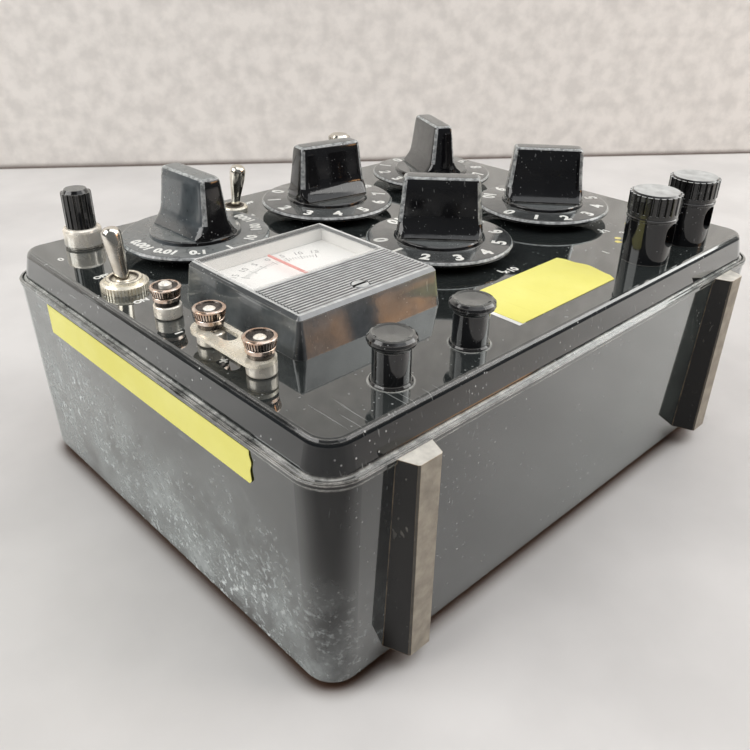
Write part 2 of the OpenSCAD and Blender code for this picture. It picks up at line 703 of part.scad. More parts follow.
// Shorting link: a flat strip with a hole at the front post and a long slot at the middle post.
module shorting_link() color("#d9cfb8") translate([post_x, case_y, deck_z + drum_top_z]) difference() {
    union() {
        for (y = [post_ys[0], post_ys[1]]) translate([link_offset, y, 0]) cylinder(d = link_w, h = link_t);
        translate([link_offset - link_w / 2, post_ys[0], 0]) cube([link_w, post_pitch, link_t]);
    }
    for (y = [post_ys[0], post_ys[1], post_ys[1] - slot_run])
        translate([0, y, -1]) cylinder(d = slot_w, h = link_t + 2);
    translate([-slot_w / 2, post_ys[1] - slot_run, -1]) cube([slot_w, slot_run, link_t + 2]);
}

// A terminal's base with its stud and the threaded shank through the deck.
module terminal_base(x, y, base_d, base_h, stud_d, shank_d, hole_d, top) {
    on_deck(x, y) rotate_extrude() polygon([
        [0, -12], [shank_d / 2, -12], [shank_d / 2, -deck_t], [hole_d / 2, -deck_t], [hole_d / 2, 0],
        [base_d / 2 - 0.2, 0], [base_d / 2, 0.2], [base_d / 2, base_h - 0.2], [base_d / 2 - 0.2, base_h],
        [stud_d / 2, base_h], [stud_d / 2, top], [0, top]]);
}

// The corner terminal, from the deck up: washer and stud, turned collar, fluted head.
corner_washer_t = 0.6;
corner_collar_top = 7.4;
corner_stud_d = 5;
module corner_base() color("#d8d2c2")
    terminal_base(corner_term_x, corner_term_y, corner_collar_d - 1.3, corner_washer_t, corner_stud_d,
        5.6, 6.1, corner_term_h - 4);

module corner_collar() color("#e6dfcd") {
    r = corner_collar_d / 2;
    bore_r = corner_stud_d / 2 + nut_gap;
    low = corner_washer_t + nut_gap;
    on_deck(corner_term_x, corner_term_y) rotate_extrude() polygon([
        [bore_r, low], [r - 0.4, low], [r, low + 0.4], [r, corner_collar_top - 1.2],
        [r - 0.25, corner_collar_top - 0.5], [r - 0.9, corner_collar_top], [bore_r, corner_collar_top]]);
}

module corner_head() color("#141416") {
    h = corner_term_h - corner_collar_top - nut_gap;
    crown_t = 1.2;
    on_deck(corner_term_x, corner_term_y) translate([0, 0, corner_collar_top + nut_gap]) difference() {
        union() {
            linear_extrude(h - crown_t) toothed_outline(10.8, 16, 0.6, 0.56);
            translate([0, 0, h - crown_t]) cylinder(d1 = 9.5, d2 = 7.8, h = crown_t);
        }
        translate([0, 0, -1]) cylinder(d = corner_stud_d + 2 * nut_gap, h = h - 1.8);
    }
}

module rear_base() color("#d8d2c2")
    terminal_base(rear_term_x, rear_term_y, 10, 5, 4, 4.6, 5.1, rear_term_h - 4);

module rear_head() color("#d8d2c2")
    on_deck(rear_term_x, rear_term_y) translate([0, 0, 5.05]) difference() {
        union() {
            cylinder(d = 10.6, h = 5);
            translate([0, 0, 5]) cylinder(d = 8, h = 1.2);
            translate([0, 0, 6.2]) linear_extrude(rear_term_h - 5.05 - 7.2) toothed_outline(9.8, 24, 0.4);
            translate([0, 0, rear_term_h - 6.05]) cylinder(d1 = 9, d2 = 7.4, h = 1);
        }
        translate([0, 0, -1]) cylinder(d = 4 + 2 * nut_gap, h = rear_term_h - 5.05 - 2.6);
    }

// Heights of a large terminal's pieces above the deck.
term_body_h = 17;
window_low = 6.6;
window_high = 15.4;
term_stud_d = 6;
module terminal_body(x) {
    on_deck(x, term_y) difference() {
        rotate_extrude() polygon([
            [0, 0], [term_body_d / 2, 0], [term_body_d / 2, term_body_h - 1.3],
            [term_body_d / 2 + 0.3, term_body_h - 1], [term_body_d / 2 + 0.3, term_body_h - 0.3],
            [term_body_d / 2, term_body_h], [0, term_body_h]]);
        translate([0, 0, -1]) cylinder(d = term_stud_d, h = term_body_h + 2);
        for (z = [window_low + window_w / 2, window_high - window_w / 2])
            translate([0, 0, z]) rotate([90, 0, 0]) cylinder(d = window_w, h = 30, center = true);
        translate([-window_w / 2, -15, window_low + window_w / 2])
            cube([window_w, 30, window_high - window_low - window_w]);
    }
}

module terminal_bodies() color("#141416") {
    terminal_body(term_left_x);
    terminal_body(term_right_x);
}

module terminal_studs() color("#a8641e")
    for (x = [term_left_x, term_right_x]) on_deck(x, term_y) {
        translate([0, 0, -14]) cylinder(d = 5.6, h = 15);
        cylinder(d = term_stud_d, h = term_h - 3);
    }

module terminal_cap(x) {
    color("#141416") on_deck(x, term_y) translate([0, 0, term_body_h + 0.1]) {
        h = term_h - term_body_h - 0.1;
        difference() {
            union() {
                cylinder(d = term_cap_d - 0.6, h = 1.4);
                translate([0, 0, 1.4]) linear_extrude(h - 2) toothed_outline(term_cap_d, 24, 0.75, 0.55);
                translate([0, 0, h - 0.6]) cylinder(d1 = term_cap_d - 1.4, d2 = term_cap_d - 2.4, h = 0.6);
            }
            translate([0, 0, -1]) cylinder(d = term_stud_d + 2 * shaft_clearance, h = h - 1);
        }
    }
}

module on_meter() {
    on_deck(meter_x, meter_y) children();
}

module meter_housing() color("#2a2a2d") on_meter() difference() {
    union() {
        profile_block(meter_w / 2 - meter_corner_r, meter_w / 2 - meter_corner_r,
            [[meter_corner_r, 0], [meter_corner_r - meter_draft, meter_wall_h]]);
        translate([0, meter_pivot_y, -can_down]) cylinder(d = can_d, h = can_down + 1);
    }
    translate([-meter_w / 2 + 3, -meter_w / 2 + 3, 2]) cube([meter_w - 6, meter_w - 6, meter_wall_h]);
    translate([0, meter_pivot_y, -can_down + can_wall_t]) cylinder(d = can_d - 2 * can_wall_t, h = can_down + 5);
}

// Cover: a bevelled plate with an opening for the window and a field of ribs in front of it.
module meter_cover() color("#2a2a2d") on_meter() {
    top = meter_wall_h + meter_cover_t - 0.5;
    rib_pitch = (glass_front_y - 0.8 - rib_front_y) / rib_count;
    difference() {
        union() {
            profile_block(meter_w / 2 - meter_corner_r, meter_w / 2 - meter_corner_r, [
                [meter_corner_r - meter_draft, meter_wall_h],
                [meter_corner_r - meter_draft, meter_wall_h + 0.2],
                [meter_corner_r - meter_draft - 1, top]]);
            for (i = [0:rib_count - 1]) translate([-glass_half_w, rib_front_y + i * rib_pitch, top - 0.2])
                rotate([90, 0, 90]) linear_extrude(2 * glass_half_w)
                    polygon([[0.15, 0], [0.45, 0.6], [rib_pitch - 0.45, 0.6], [rib_pitch - 0.15, 0]]);
        }
        translate([-glass_half_w, glass_front_y, 0]) cube([2 * glass_half_w, glass_back_y - glass_front_y, 30]);
        translate([0, zero_screw_y, 0]) cylinder(d = zero_screw_d + 0.12, h = 30);
    }
}

module meter_window() color([0.85, 0.9, 0.92, 0.3]) on_meter()
    translate([-glass_half_w, glass_front_y, meter_wall_h])
        cube([2 * glass_half_w, glass_back_y - glass_front_y, meter_cover_t]);

module meter_dial() color("#f2f1ec") on_meter() difference() {
    translate([-26.6, -26.4, dial_plate_z - 5]) union() {
        translate([0, 0, 4.2]) cube([53.2, 53, 0.8]);
        for (x = [1, 48.2], y = [1, 48]) translate([x, y, 0]) cube([4, 4, 4.2]);
    }
    translate([0, meter_pivot_y, 0]) cylinder(d = 7, h = 20);
}

// The moving system: pivot shaft, thin pointer with its tail, and a coil round the core.
coil_w = 17;
coil_h = 17;
coil_t = 1.3;
coil_mid_z = -14;
core_d = 12.6;
core_h = 13.4;
module meter_pointer() color("#c23a2a") on_meter() translate([0, meter_pivot_y, 0]) {
    translate([0, 0, coil_mid_z + coil_h / 2 - 0.5]) cylinder(d = 1.6, h = pointer_z - coil_mid_z - coil_h / 2 + 1.5);
    translate([0, 0, -can_down + can_wall_t + 0.05]) cylinder(d = 1.6, h = coil_mid_z - coil_h / 2 + can_down - 1);
    translate([0, 0, pointer_z - 0.8]) cylinder(d = 5, h = 1.4);
    translate([-0.35, -8, pointer_z]) cube([0.7, pointer_l + 8, 0.6]);
    translate([-1.6, -10, pointer_z - 0.2]) cube([3.2, 3, 1]);
    translate([0, 0, coil_mid_z]) difference() {
        cube([coil_w, 2, coil_h], center = true);
        cube([coil_w - 2 * coil_t, 3, coil_h - 2 * coil_t], center = true);
    }
}

module meter_movement() color("#5b5b60") on_meter() translate([0, meter_pivot_y, 0]) {
    magnet_h = 19;
    difference() {
        translate([0, 0, coil_mid_z - magnet_h / 2]) cylinder(d = can_d - 2 * can_wall_t, h = magnet_h);
        translate([0, 0, coil_mid_z - magnet_h]) cylinder(d = coil_w + 2.4, h = 2 * magnet_h);
    }
    translate([0, 0, coil_mid_z - core_h / 2]) cylinder(d = core_d, h = core_h);
    translate([-1.6, -coil_w / 2 - 2, coil_mid_z - 2]) cube([3.2, coil_w + 4, 4]);
}

module zero_screw() color("#2e2e31") on_meter() translate([0, zero_screw_y, meter_wall_h - 0.6]) difference() {
    union() {
        cylinder(d = zero_screw_d, h = 2);
        translate([0, 0, 2]) cylinder(d1 = zero_screw_d, d2 = zero_screw_d - 1, h = 0.4);
    }
    translate([-zero_screw_d, -0.55, 1.5]) cube([2 * zero_screw_d, 1.1, 2]);
}

module battery_box() color("#3a352e") translate([battery_x, case_y + battery_y, floor_top_z]) difference() {
    translate([-battery_w / 2 - battery_wall_t, -battery_l / 2 - battery_wall_t, 0])
        cube([battery_w + 2 * battery_wall_t, battery_l + 2 * battery_wall_t, battery_h]);
    translate([-battery_w / 2, -battery_l / 2, -1]) cube([battery_w, battery_l, battery_h + 1 - battery_wall_t]);
}

module battery_cells() color("#7a6a3c")
    for (i = [-1, 0, 1])
        translate([battery_x + i * (cell_d + cell_gap), case_y + battery_y + cell_l / 2,
            foot_h + hatch_t + cell_d / 2])
            rotate([90, 0, 0]) cylinder(d = cell_d, h = cell_l);

case_shell();
front_rails();
rubber_feet();
tie_screws();
battery_hatch();
hatch_screws();
side_label();
deck();
deck_label();
switch_bushings();
deck_nuts();
wafer_pillars();
switch_wafers();
contact_studs();
resistance_spools();
bus_bars();
knob(ratio_at, ratio_turn);  // knob_ratio
knob(thousands_at, thousands_turn);  // knob_thousands
knob(hundreds_at, hundreds_turn);  // knob_hundreds
knob(tens_at, tens_turn);  // knob_tens
knob(units_at, units_turn);  // knob_units
switch_shaft(ratio_at, ratio_turn);  // shaft_ratio
switch_shaft(thousands_at, thousands_turn);  // shaft_thousands
switch_shaft(hundreds_at, hundreds_turn);  // shaft_hundreds
switch_shaft(tens_at, tens_turn);  // shaft_tens
switch_shaft(units_at, units_turn);  // shaft_units
key_plunger(battery_key_x);  // key_battery
key_plunger(galvo_key_x);  // key_galvo
key_bezels();
key_contacts();
toggle_bodies();
toggle_dress_ring();
toggle_nut();
toggle_lever(left_toggle_x, left_toggle_y, 7.4, -toggle_lean);  // lever_left
toggle_lever(rear_toggle_x, rear_toggle_y, 5.6, toggle_lean);  // lever_rear
post_bases();
thumb_nut(post_ys[0], drum_top_z + link_t);  // thumb_nut_front
thumb_nut(post_ys[1], drum_top_z + link_t);  // thumb_nut_middle
thumb_nut(post_ys[2], drum_top_z);  // thumb_nut_back
shorting_link();
corner_base();
corner_collar();
corner_head();
rear_base();
rear_head();
terminal_bodies();
terminal_studs();
terminal_cap(term_left_x);  // terminal_cap_left
terminal_cap(term_right_x);  // terminal_cap_right
meter_housing();
meter_cover();
meter_window();
meter_dial();
meter_pointer();
meter_movement();
zero_screw();
battery_box();
battery_cells();
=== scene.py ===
import math
import random

import bpy
from mathutils import Matrix, Vector


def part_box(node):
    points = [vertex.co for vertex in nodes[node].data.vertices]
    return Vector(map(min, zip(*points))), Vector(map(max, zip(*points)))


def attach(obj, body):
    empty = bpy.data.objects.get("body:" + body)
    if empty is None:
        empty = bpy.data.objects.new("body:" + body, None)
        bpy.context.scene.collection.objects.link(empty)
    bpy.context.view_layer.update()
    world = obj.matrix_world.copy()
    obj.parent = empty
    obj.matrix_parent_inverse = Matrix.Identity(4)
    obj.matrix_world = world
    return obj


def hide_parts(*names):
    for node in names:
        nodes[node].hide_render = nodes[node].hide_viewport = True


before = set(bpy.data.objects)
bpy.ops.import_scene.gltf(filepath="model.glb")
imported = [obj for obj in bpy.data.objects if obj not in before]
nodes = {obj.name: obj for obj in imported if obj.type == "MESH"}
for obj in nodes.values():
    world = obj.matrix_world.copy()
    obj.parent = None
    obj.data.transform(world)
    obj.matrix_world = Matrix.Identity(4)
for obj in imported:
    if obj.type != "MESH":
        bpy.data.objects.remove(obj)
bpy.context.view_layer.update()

# ---- Camera, table and light ---------------------------------------------------------------------
# The bridge stands on a pale table in front of a pale wall, seen from its left front corner.
# A soft window is on the left, a soft ceiling above, a soft panel at the right front, and a small
# warm lamp low on the right.
mm = 0.001             # sizes below are written in millimetres, and Blender's unit is the metre

camera_data = bpy.data.cameras.new("camera")
camera_data.lens = 37.64
camera_data.sensor_width = 36
camera_data.clip_start = 0.01
camera = bpy.data.objects.new("camera", camera_data)
bpy.context.scene.collection.objects.link(camera)
camera.matrix_world = Matrix((
    (0.722346, 0.336034, -0.604398, -0.209805),
    (-0.691375, 0.369542, -0.620838, -0.199980),
    (0.014728, 0.866325, 0.499263, 0.193986),
    (0, 0, 0, 1)))
bpy.context.scene.camera = camera
bpy.context.scene.view_settings.view_transform = "Standard"


def plain(name, colour, rough, patch, contrast):
    """A plain finish in soft patches of two tones, with painted brown shade where something stands close
    to it.
    """
    material = bpy.data.materials.new(name)
    material.use_nodes = True
    tree = material.node_tree
    shader = tree.nodes["Principled BSDF"]
    place = tree.nodes.new("ShaderNodeTexCoord")
    noise = tree.nodes.new("ShaderNodeTexNoise")
    noise.inputs["Scale"].default_value = patch
    noise.inputs["Detail"].default_value = 6
    ramp = tree.nodes.new("ShaderNodeValToRGB")
    ramp.color_ramp.elements[0].color = [contrast * c for c in colour] + [1]
    ramp.color_ramp.elements[1].color = list(colour) + [1]
    ramp.color_ramp.elements[0].position = 0.35
    ramp.color_ramp.elements[1].position = 0.62
    tree.links.new(place.outputs["Object"], noise.inputs["Vector"])
    tree.links.new(noise.outputs["Fac"], ramp.inputs["Fac"])
    # Painted shadow: the colour turns dark brown where ambient occlusion finds something close, as under
    # the case.
    near = tree.nodes.new("ShaderNodeAmbientOcclusion")
    near.inputs["Distance"].default_value = 9 * mm
    near.samples = 12
    depth = tree.nodes.new("ShaderNodeMapRange")
    depth.inputs["From Min"].default_value = 0.8
    depth.inputs["From Max"].default_value = 0.45
    shade = tree.nodes.new("ShaderNodeMix")
    shade.data_type = "RGBA"
    shade.inputs["B"].default_value = (0.07, 0.035, 0.02, 1)
    tree.links.new(near.outputs["AO"], depth.inputs["Value"])
    tree.links.new(depth.outputs["Result"], shade.inputs["Factor"])
    tree.links.new(ramp.outputs["Color"], shade.inputs["A"])
    tree.links.new(shade.outputs["Result"], shader.inputs["Base Color"])
    shader.inputs["Roughness"].default_value = rough
    return material


bpy.ops.mesh.primitive_plane_add(size=6, location=(0, 0, 0))
table = bpy.context.object
table.name = "table_top"
table.data.materials.append(plain("table", (0.69, 0.675, 0.665), 0.6, 14, 0.88))

bpy.ops.mesh.primitive_plane_add(size=6, location=(0.322, 0.321, 0.8),
                                 rotation=(math.radians(90), 0, math.radians(-36)))
wall = bpy.context.object
wall.name = "wall"
wall.data.materials.append(plain("wall_paint", (0.80, 0.765, 0.73), 0.9, 70, 0.84))

world = bpy.context.scene.world or bpy.data.worlds.new("room")
bpy.context.scene.world = world
world.use_nodes = True
world.node_tree.nodes["Background"].inputs["Color"].default_value = (0.93, 0.96, 1, 1)
world.node_tree.nodes["Background"].inputs["Strength"].default_value = 0.16


def soft_lamp(name, place, target, size, power, colour):
    """A rectangular lamp that faces its target."""
    data = bpy.data.lights.new(name, "AREA")
    data.shape = "RECTANGLE"
    data.size, data.size_y = size
    data.energy = power
    data.color = colour
    lamp = bpy.data.objects.new(name, data)
    bpy.context.scene.collection.objects.link(lamp)
    lamp.location = place
    away = [a - b for a, b in zip(place, target)]
    flat = math.hypot(away[0], away[1])
    lamp.rotation_euler = (math.atan2(flat, away[2]), 0, math.atan2(away[0], -away[1]))
    return lamp


soft_lamp("window_light", (-0.95, 0.35, 0.75), (0, 0, 0.06), (0.9, 0.8), 10.5, (1, 0.985, 0.96))
soft_lamp("ceiling_light", (0.25, -0.25, 1.5), (0, 0, 0), (1.6, 1.5), 10.5, (0.97, 0.985, 1))
soft_lamp("side_light", (0.76, -0.62, 0.76), (0, 0, 0.08), (0.95, 0.6), 7.5, (1, 0.985, 0.96))
soft_lamp("warm_lamp", (0.55, -0.75, 0.3), (0, 0, 0.09), (0.25, 0.1), 0.5, (1, 0.5, 0.2))

# ---- Case shell and front rails ------------------------------------------------------------------
# The case is one compression moulding in glossy black phenolic, drafted, with rounded corners.
# It is scuffed and hazed, most of all low on the left wall. The front wall is lightened by a painted
# reflection, and the bead and edges carry a painted highlight. The two rails are of the same stuff and
# stand on the front wall, and the box can be stood on them.


def surface(name, dark, light, rough, metallic=0.0, ior=1.5, patch=14.0, haze_and_painted_reflection=(), dust_and_painted_reflection=(), edge_wear_and_highlight=None,
            painted_crevice_shade=None, scratches=None, specks=None, bump=(0.0, 400.0), shine=0.0):
    """A finish: two colours in soft patches, and over them what use has left and some painted light and
    shade. In the order of the layers:
    haze_and_painted_reflection: blooms as (centre, radius, strength, tone, whether it is speckled): haze,
    and where a finish asks for it a painted reflection
    dust_and_painted_reflection: films as (amount, tone, the way that the faces look): dust, and on some
    faces that look aside also a painted reflection
    edge_wear_and_highlight: lighter edges as (width, amount, tone): rubbed wear, and with a light tone
    also a painted highlight
    painted_crevice_shade: painted shade in the corners as (depth, tone), darker where ambient occlusion
    finds faces close by
    scratches: (amount, tone), and specks: (amount, scale, size, tone)
    bump is a fine grain as (strength, scale). shine is the polish that shows at a glancing look."""
    material = bpy.data.materials.new(name)
    material.use_nodes = True
    tree = material.node_tree
    make, link = tree.nodes.new, tree.links.new
    shader = tree.nodes["Principled BSDF"]
    shader.inputs["Metallic"].default_value = metallic
    shader.inputs["IOR"].default_value = ior
    shader.inputs["Coat IOR"].default_value = 2.1
    shader.inputs["Coat Tint"].default_value = (0.94, 1, 0.99, 1)
    place = make("ShaderNodeTexCoord")

    def noise(scale, detail=4.0, stretch=None, rough_steps=0.55, spin=0.5):
        node = make("ShaderNodeTexNoise")
        node.inputs["Scale"].default_value = scale
        node.inputs["Detail"].default_value = detail
        node.inputs["Roughness"].default_value = rough_steps
        if stretch:
            turn = make("ShaderNodeMapping")
            turn.inputs["Scale"].default_value = stretch
            turn.inputs["Rotation"].default_value = (0.3, 0.2, spin)
            link(place.outputs["Object"], turn.inputs["Vector"])
            link(turn.outputs["Vector"], node.inputs["Vector"])
        else:
            link(place.outputs["Object"], node.inputs["Vector"])
        return node.outputs["Fac"]

    def between(value, low, high, out_low=0.0, out_high=1.0):
        node = make("ShaderNodeMapRange")
        node.inputs["From Min"].default_value = low
        node.inputs["From Max"].default_value = high
        node.inputs["To Min"].default_value = out_low
        node.inputs["To Max"].default_value = out_high
        link(value, node.inputs["Value"])
        return node.outputs["Result"]

    def times(a, b):
        node = make("ShaderNodeMath")
        node.operation = "MULTIPLY"
        link(a, node.inputs[0])
        if isinstance(b, float):
            node.inputs[1].default_value = b
        else:
            link(b, node.inputs[1])
        return node.outputs["Value"]

    def greater(a, b):
        node = make("ShaderNodeMath")
        node.operation = "MAXIMUM"
        link(a, node.inputs[0])
        link(b, node.inputs[1])
        return node.outputs["Value"]

    def mixed(amount, under, over):
        node = make("ShaderNodeMix")
        node.data_type = "RGBA"
        link(amount, node.inputs["Factor"])
        for value, socket in ((under, node.inputs["A"]), (over, node.inputs["B"])):
            if hasattr(value, "is_output"):
                link(value, socket)
            else:
                socket.default_value = (*value, 1)
        return node.outputs["Result"]

    colour = mixed(between(noise(patch), 0.35, 0.65), dark, light)
    dull = between(noise(patch * 2.3, 6), 0.38, 0.72, rough[0], rough[1])
    # Blooms lighten the colour towards their tone: haze, and on the case's front wall partly a painted
    # reflection.
    for centre, radius, strength, tone, speckled in haze_and_painted_reflection:
        near = make("ShaderNodeVectorMath")
        near.operation = "DISTANCE"
        link(place.outputs["Object"], near.inputs[0])
        near.inputs[1].default_value = [v * mm for v in centre]
        cloud = (0.3, 0.52) if speckled else (0.1, 0.6)
        cover = times(between(near.outputs["Value"], radius * mm, radius * 0.2 * mm),
                      between(noise(45, 5, None, 0.6), *cloud))
        if speckled:
            grain = greater(between(noise(430, 5, None, 0.6), 0.5, 0.66),
                            between(noise(75, 7, None, 0.65), 0.36, 0.72, 0, 0.7))
            cover = times(cover, grain)
        cover = times(cover, float(strength))
        colour = mixed(cover, colour, tone)
        dull = greater(dull, between(cover, 0, 0.6, 0, 0.5))
    if dust_and_painted_reflection or edge_wear_and_highlight:
        geometry = make("ShaderNodeNewGeometry")
    # Films on faces that look one way: dust on faces that look up, and on some faces that look aside
    # partly a painted reflection.
    for amount, tone, direction in dust_and_painted_reflection:
        slope = make("ShaderNodeVectorMath")
        slope.operation = "DOT_PRODUCT"
        link(geometry.outputs["Normal"], slope.inputs[0])
        slope.inputs[1].default_value = direction
        dust_and_reflection_film = times(between(slope.outputs["Value"], 0.72, 0.95),
                     between(noise(260, 5, None, 0.55), -0.35, 0.75))
        dust_and_reflection_film = times(dust_and_reflection_film, float(amount))
        colour = mixed(dust_and_reflection_film, colour, tone)
        dull = greater(dull, between(dust_and_reflection_film, 0, 0.6, 0, 0.6))
    # Edges found by the Bevel normal take the tone: rubbed wear, and with a light tone a painted highlight
    # along the edges.
    if edge_wear_and_highlight:
        width, amount, tone = edge_wear_and_highlight
        rounded = make("ShaderNodeBevel")
        rounded.samples = 6
        rounded.inputs["Radius"].default_value = width * mm
        turn_away = make("ShaderNodeVectorMath")
        turn_away.operation = "DOT_PRODUCT"
        link(rounded.outputs["Normal"], turn_away.inputs[0])
        link(geometry.outputs["Normal"], turn_away.inputs[1])
        wear_and_highlight = times(between(turn_away.outputs["Value"], 0.99, 0.9),
                    between(noise(90, 8, None, 0.7), 0.35, 0.6))
        wear_and_highlight = times(wear_and_highlight, float(amount))
        colour = mixed(wear_and_highlight, colour, tone)
        dull = greater(dull, between(wear_and_highlight, 0, 1, 0, 0.4))
    # Painted shade: the colour darkens towards the tone where ambient occlusion finds faces close by.
    if painted_crevice_shade:
        depth, tone = painted_crevice_shade
        shade = make("ShaderNodeAmbientOcclusion")
        shade.samples = 8
        shade.only_local = True
        shade.inputs["Distance"].default_value = depth * mm
        crevice_shade = between(shade.outputs["AO"], 0.85, 0.45)
        colour = mixed(crevice_shade, colour, tone)
        dull = greater(dull, between(crevice_shade, 0, 1, 0, 0.6))
    if scratches:
        amount, tone = scratches
        hair = (1500, 30, 260)
        lines = between(noise(1, 1, hair), 0.72, 0.745)
        more = between(noise(1, 1, hair, 0.55, 1.6), 0.735, 0.76)
        lines = times(greater(lines, more), between(noise(21, 2), 0.45, 0.62))
        lines = times(lines, float(amount))
        colour = mixed(lines, colour, tone)
        dull = greater(dull, between(lines, 0, 1, 0, 0.5))
    if specks:
        amount, scale, size, tone = specks
        dots = make("ShaderNodeTexVoronoi")
        dots.inputs["Scale"].default_value = scale
        dots.inputs["Randomness"].default_value = 1
        link(place.outputs["Object"], dots.inputs["Vector"])
        flecks = times(between(dots.outputs["Distance"], size, size * 0.5),
                       between(noise(scale * 0.11, 3), 0.46, 0.66))
        flecks = times(flecks, float(amount))
        colour = mixed(flecks, colour, tone)
        dull = greater(dull, between(flecks, 0, 1, 0, 0.6))
    link(colour, shader.inputs["Base Color"])
    link(dull, shader.inputs["Roughness"])
    if shine:
        facing = make("ShaderNodeLayerWeight")
        facing.inputs["Blend"].default_value = 0.5
        polish = times(between(facing.outputs["Facing"], 0.28, 0.6, 0.0, shine),
                       between(dull, 0.12, 0.5, 1.0, 0.0))
        link(polish, shader.inputs["Coat Weight"])
    if bump[0]:
        relief = make("ShaderNodeBump")
        relief.inputs["Strength"].default_value = bump[0]
        relief.inputs["Distance"].default_value = 0.4 * mm
        link(noise(bump[1], 3), relief.inputs["Height"])
        link(relief.outputs["Normal"], shader.inputs["Normal"])
    return material


def coat(material, *names):
    """Gives nodes of the frame their finish."""
    for name in names:
        slots = nodes[name].data.materials
        slots.clear()
        slots.append(material)


case_black = surface(
    "case_phenolic", (0.003, 0.0035, 0.0035), (0.008, 0.009, 0.0095), (0.06, 0.12), ior=1.45, patch=11,
    shine=1.0, specks=(0.8, 380, 0.15, (0.6, 0.6, 0.59)), scratches=(0.35, (0.3, 0.31, 0.31)),
    bump=(0.05, 160),
    haze_and_painted_reflection=[((-116, 62, 40), 56, 1.0, (0.66, 0.7, 0.7), True),
          ((-113, 12, 12), 46, 0.9, (0.6, 0.64, 0.64), True),
          ((-112, -44, 6), 58, 1.0, (0.7, 0.74, 0.74), True),
          # The broad faint bloom on the front wall is partly haze, partly a painted reflection of the
          # table.
          ((60, -92, 40), 125, 0.12, (0.42, 0.47, 0.45), False)],
    # The light edge tone along the bead and edges is a painted highlight, partly rubbed wear.
    edge_wear_and_highlight=(1.0, 1.0, (0.78, 0.75, 0.7)))
coat(case_black, "case_shell")
rail_black = surface(
    "rail_phenolic", (0.003, 0.003, 0.003), (0.008, 0.007, 0.006), (0.16, 0.3), ior=1.4, patch=30,
    specks=(0.5, 600, 0.15, (0.3, 0.29, 0.27)), scratches=(0.6, (0.2, 0.19, 0.17)), bump=(0.08, 220),
    dust_and_painted_reflection=[(1.0, (0.82, 0.79, 0.72), (0, 0, 1)), (0.85, (0.5, 0.45, 0.37), (0, -1, 0))],
    edge_wear_and_highlight=(0.5, 0.6, (0.5, 0.36, 0.22)))
coat(rail_black, "front_rails")

# ---- Feet, tie screws and battery hatch ----------------------------------------------------------
# Four rubber feet are held by the long tie screws that pull the deck down on the case.
# The hatch is a flat phenolic board held by two small screws.
coat(surface("foot_rubber", (0.02, 0.02, 0.02), (0.045, 0.043, 0.04), (0.7, 0.9), patch=60,
             specks=(0.4, 900, 0.2, (0.2, 0.19, 0.18)), bump=(0.3, 900)), "rubber_feet")
screw_steel = surface("screw_steel", (0.3, 0.3, 0.29), (0.52, 0.51, 0.49), (0.28, 0.5), 1.0, patch=120,
                      scratches=(0.5, (0.62, 0.6, 0.56)), bump=(0.1, 700))
coat(screw_steel, "tie_screws", "hatch_screws")
coat(surface("hatch_board", (0.012, 0.011, 0.01), (0.03, 0.028, 0.026), (0.3, 0.5), patch=26,
             specks=(0.4, 700, 0.16, (0.2, 0.19, 0.17)), scratches=(0.7, (0.1, 0.1, 0.1)),
             bump=(0.2, 350)),
     "battery_hatch")

# ---- Side label ----------------------------------------------------------------------------------
# A strip of yellow vinyl tape is stuck on the left wall under the rim, from back to front.
# It is left blank. Its front end is cut a little askew.
tape_yellow = surface(
    "yellow_tape", (0.80, 0.75, 0.17), (0.88, 0.84, 0.24), (0.38, 0.55), patch=24,
    specks=(0.3, 420, 0.13, (0.55, 0.5, 0.16)), scratches=(0.25, (0.66, 0.6, 0.12)), bump=(0.25, 260))


def opened(piece, test, kind="FACE"):
    """Opens a piece in edit mode with only the faces, edges or points that pass the test selected."""
    bpy.ops.object.select_all(action="DESELECT")
    bpy.context.view_layer.objects.active = piece
    piece.select_set(True)
    bpy.ops.object.mode_set(mode="EDIT")
    bpy.ops.mesh.select_mode(type=kind)
    bpy.ops.mesh.select_all(action="DESELECT")
    bpy.ops.object.mode_set(mode="OBJECT")
    parts = {"FACE": piece.data.polygons, "EDGE": piece.data.edges, "VERT": piece.data.vertices}
    for part in parts[kind]:
        part.select = test(part)
    bpy.ops.object.mode_set(mode="EDIT")


def tape(name, centre, size, rotation, ragged, seed, thickness=0.16):
    """A strip of tape: a flat grid, the points of its end pulled back one by one, then made thick."""
    rows = 32
    bpy.ops.mesh.primitive_grid_add(x_subdivisions=4, y_subdivisions=rows, size=1, location=centre,
                                    rotation=rotation)
    strip = bpy.context.object
    strip.scale = (*size, 1)
    bpy.ops.object.transform_apply(location=True, rotation=True, scale=True)
    wander = random.Random(seed)
    swings = [(wander.uniform(0.4, 1) / (n + 1), wander.uniform(0, 6.3), 4.0 * n + 3) for n in range(5)]
    turn = rotation.to_matrix()
    for row in range(rows + 1):
        across = row / rows
        torn = sum(swing * math.sin(phase + pace * across) for swing, phase, pace in swings)
        corners = 1.5 * max(0, across - 0.75) + 1.5 * max(0, 0.12 - across) / 0.12
        pull = ragged * size[0] * (torn - 1 - corners)
        spot = centre + turn.col[0] * size[0] / 2 + turn.col[1] * (across - 0.5) * size[1]
        opened(strip, lambda point: (point.co - spot).length < 0.05 * mm, "VERT")
        bpy.ops.transform.translate(value=turn.col[0] * pull)
        bpy.ops.object.mode_set(mode="OBJECT")
    thick = strip.modifiers.new("thickness", "SOLIDIFY")
    thick.thickness, thick.offset = thickness * mm, 1
    bpy.context.view_layer.objects.active = strip
    bpy.ops.object.modifier_apply(modifier="thickness")
    opened(strip, lambda face: True)
    bpy.ops.mesh.normals_make_consistent(inside=False)
    bpy.ops.object.mode_set(mode="OBJECT")
    strip.name = strip.data.name = name
    strip.data.materials.clear()
    strip.data.materials.append(tape_yellow)
    return strip


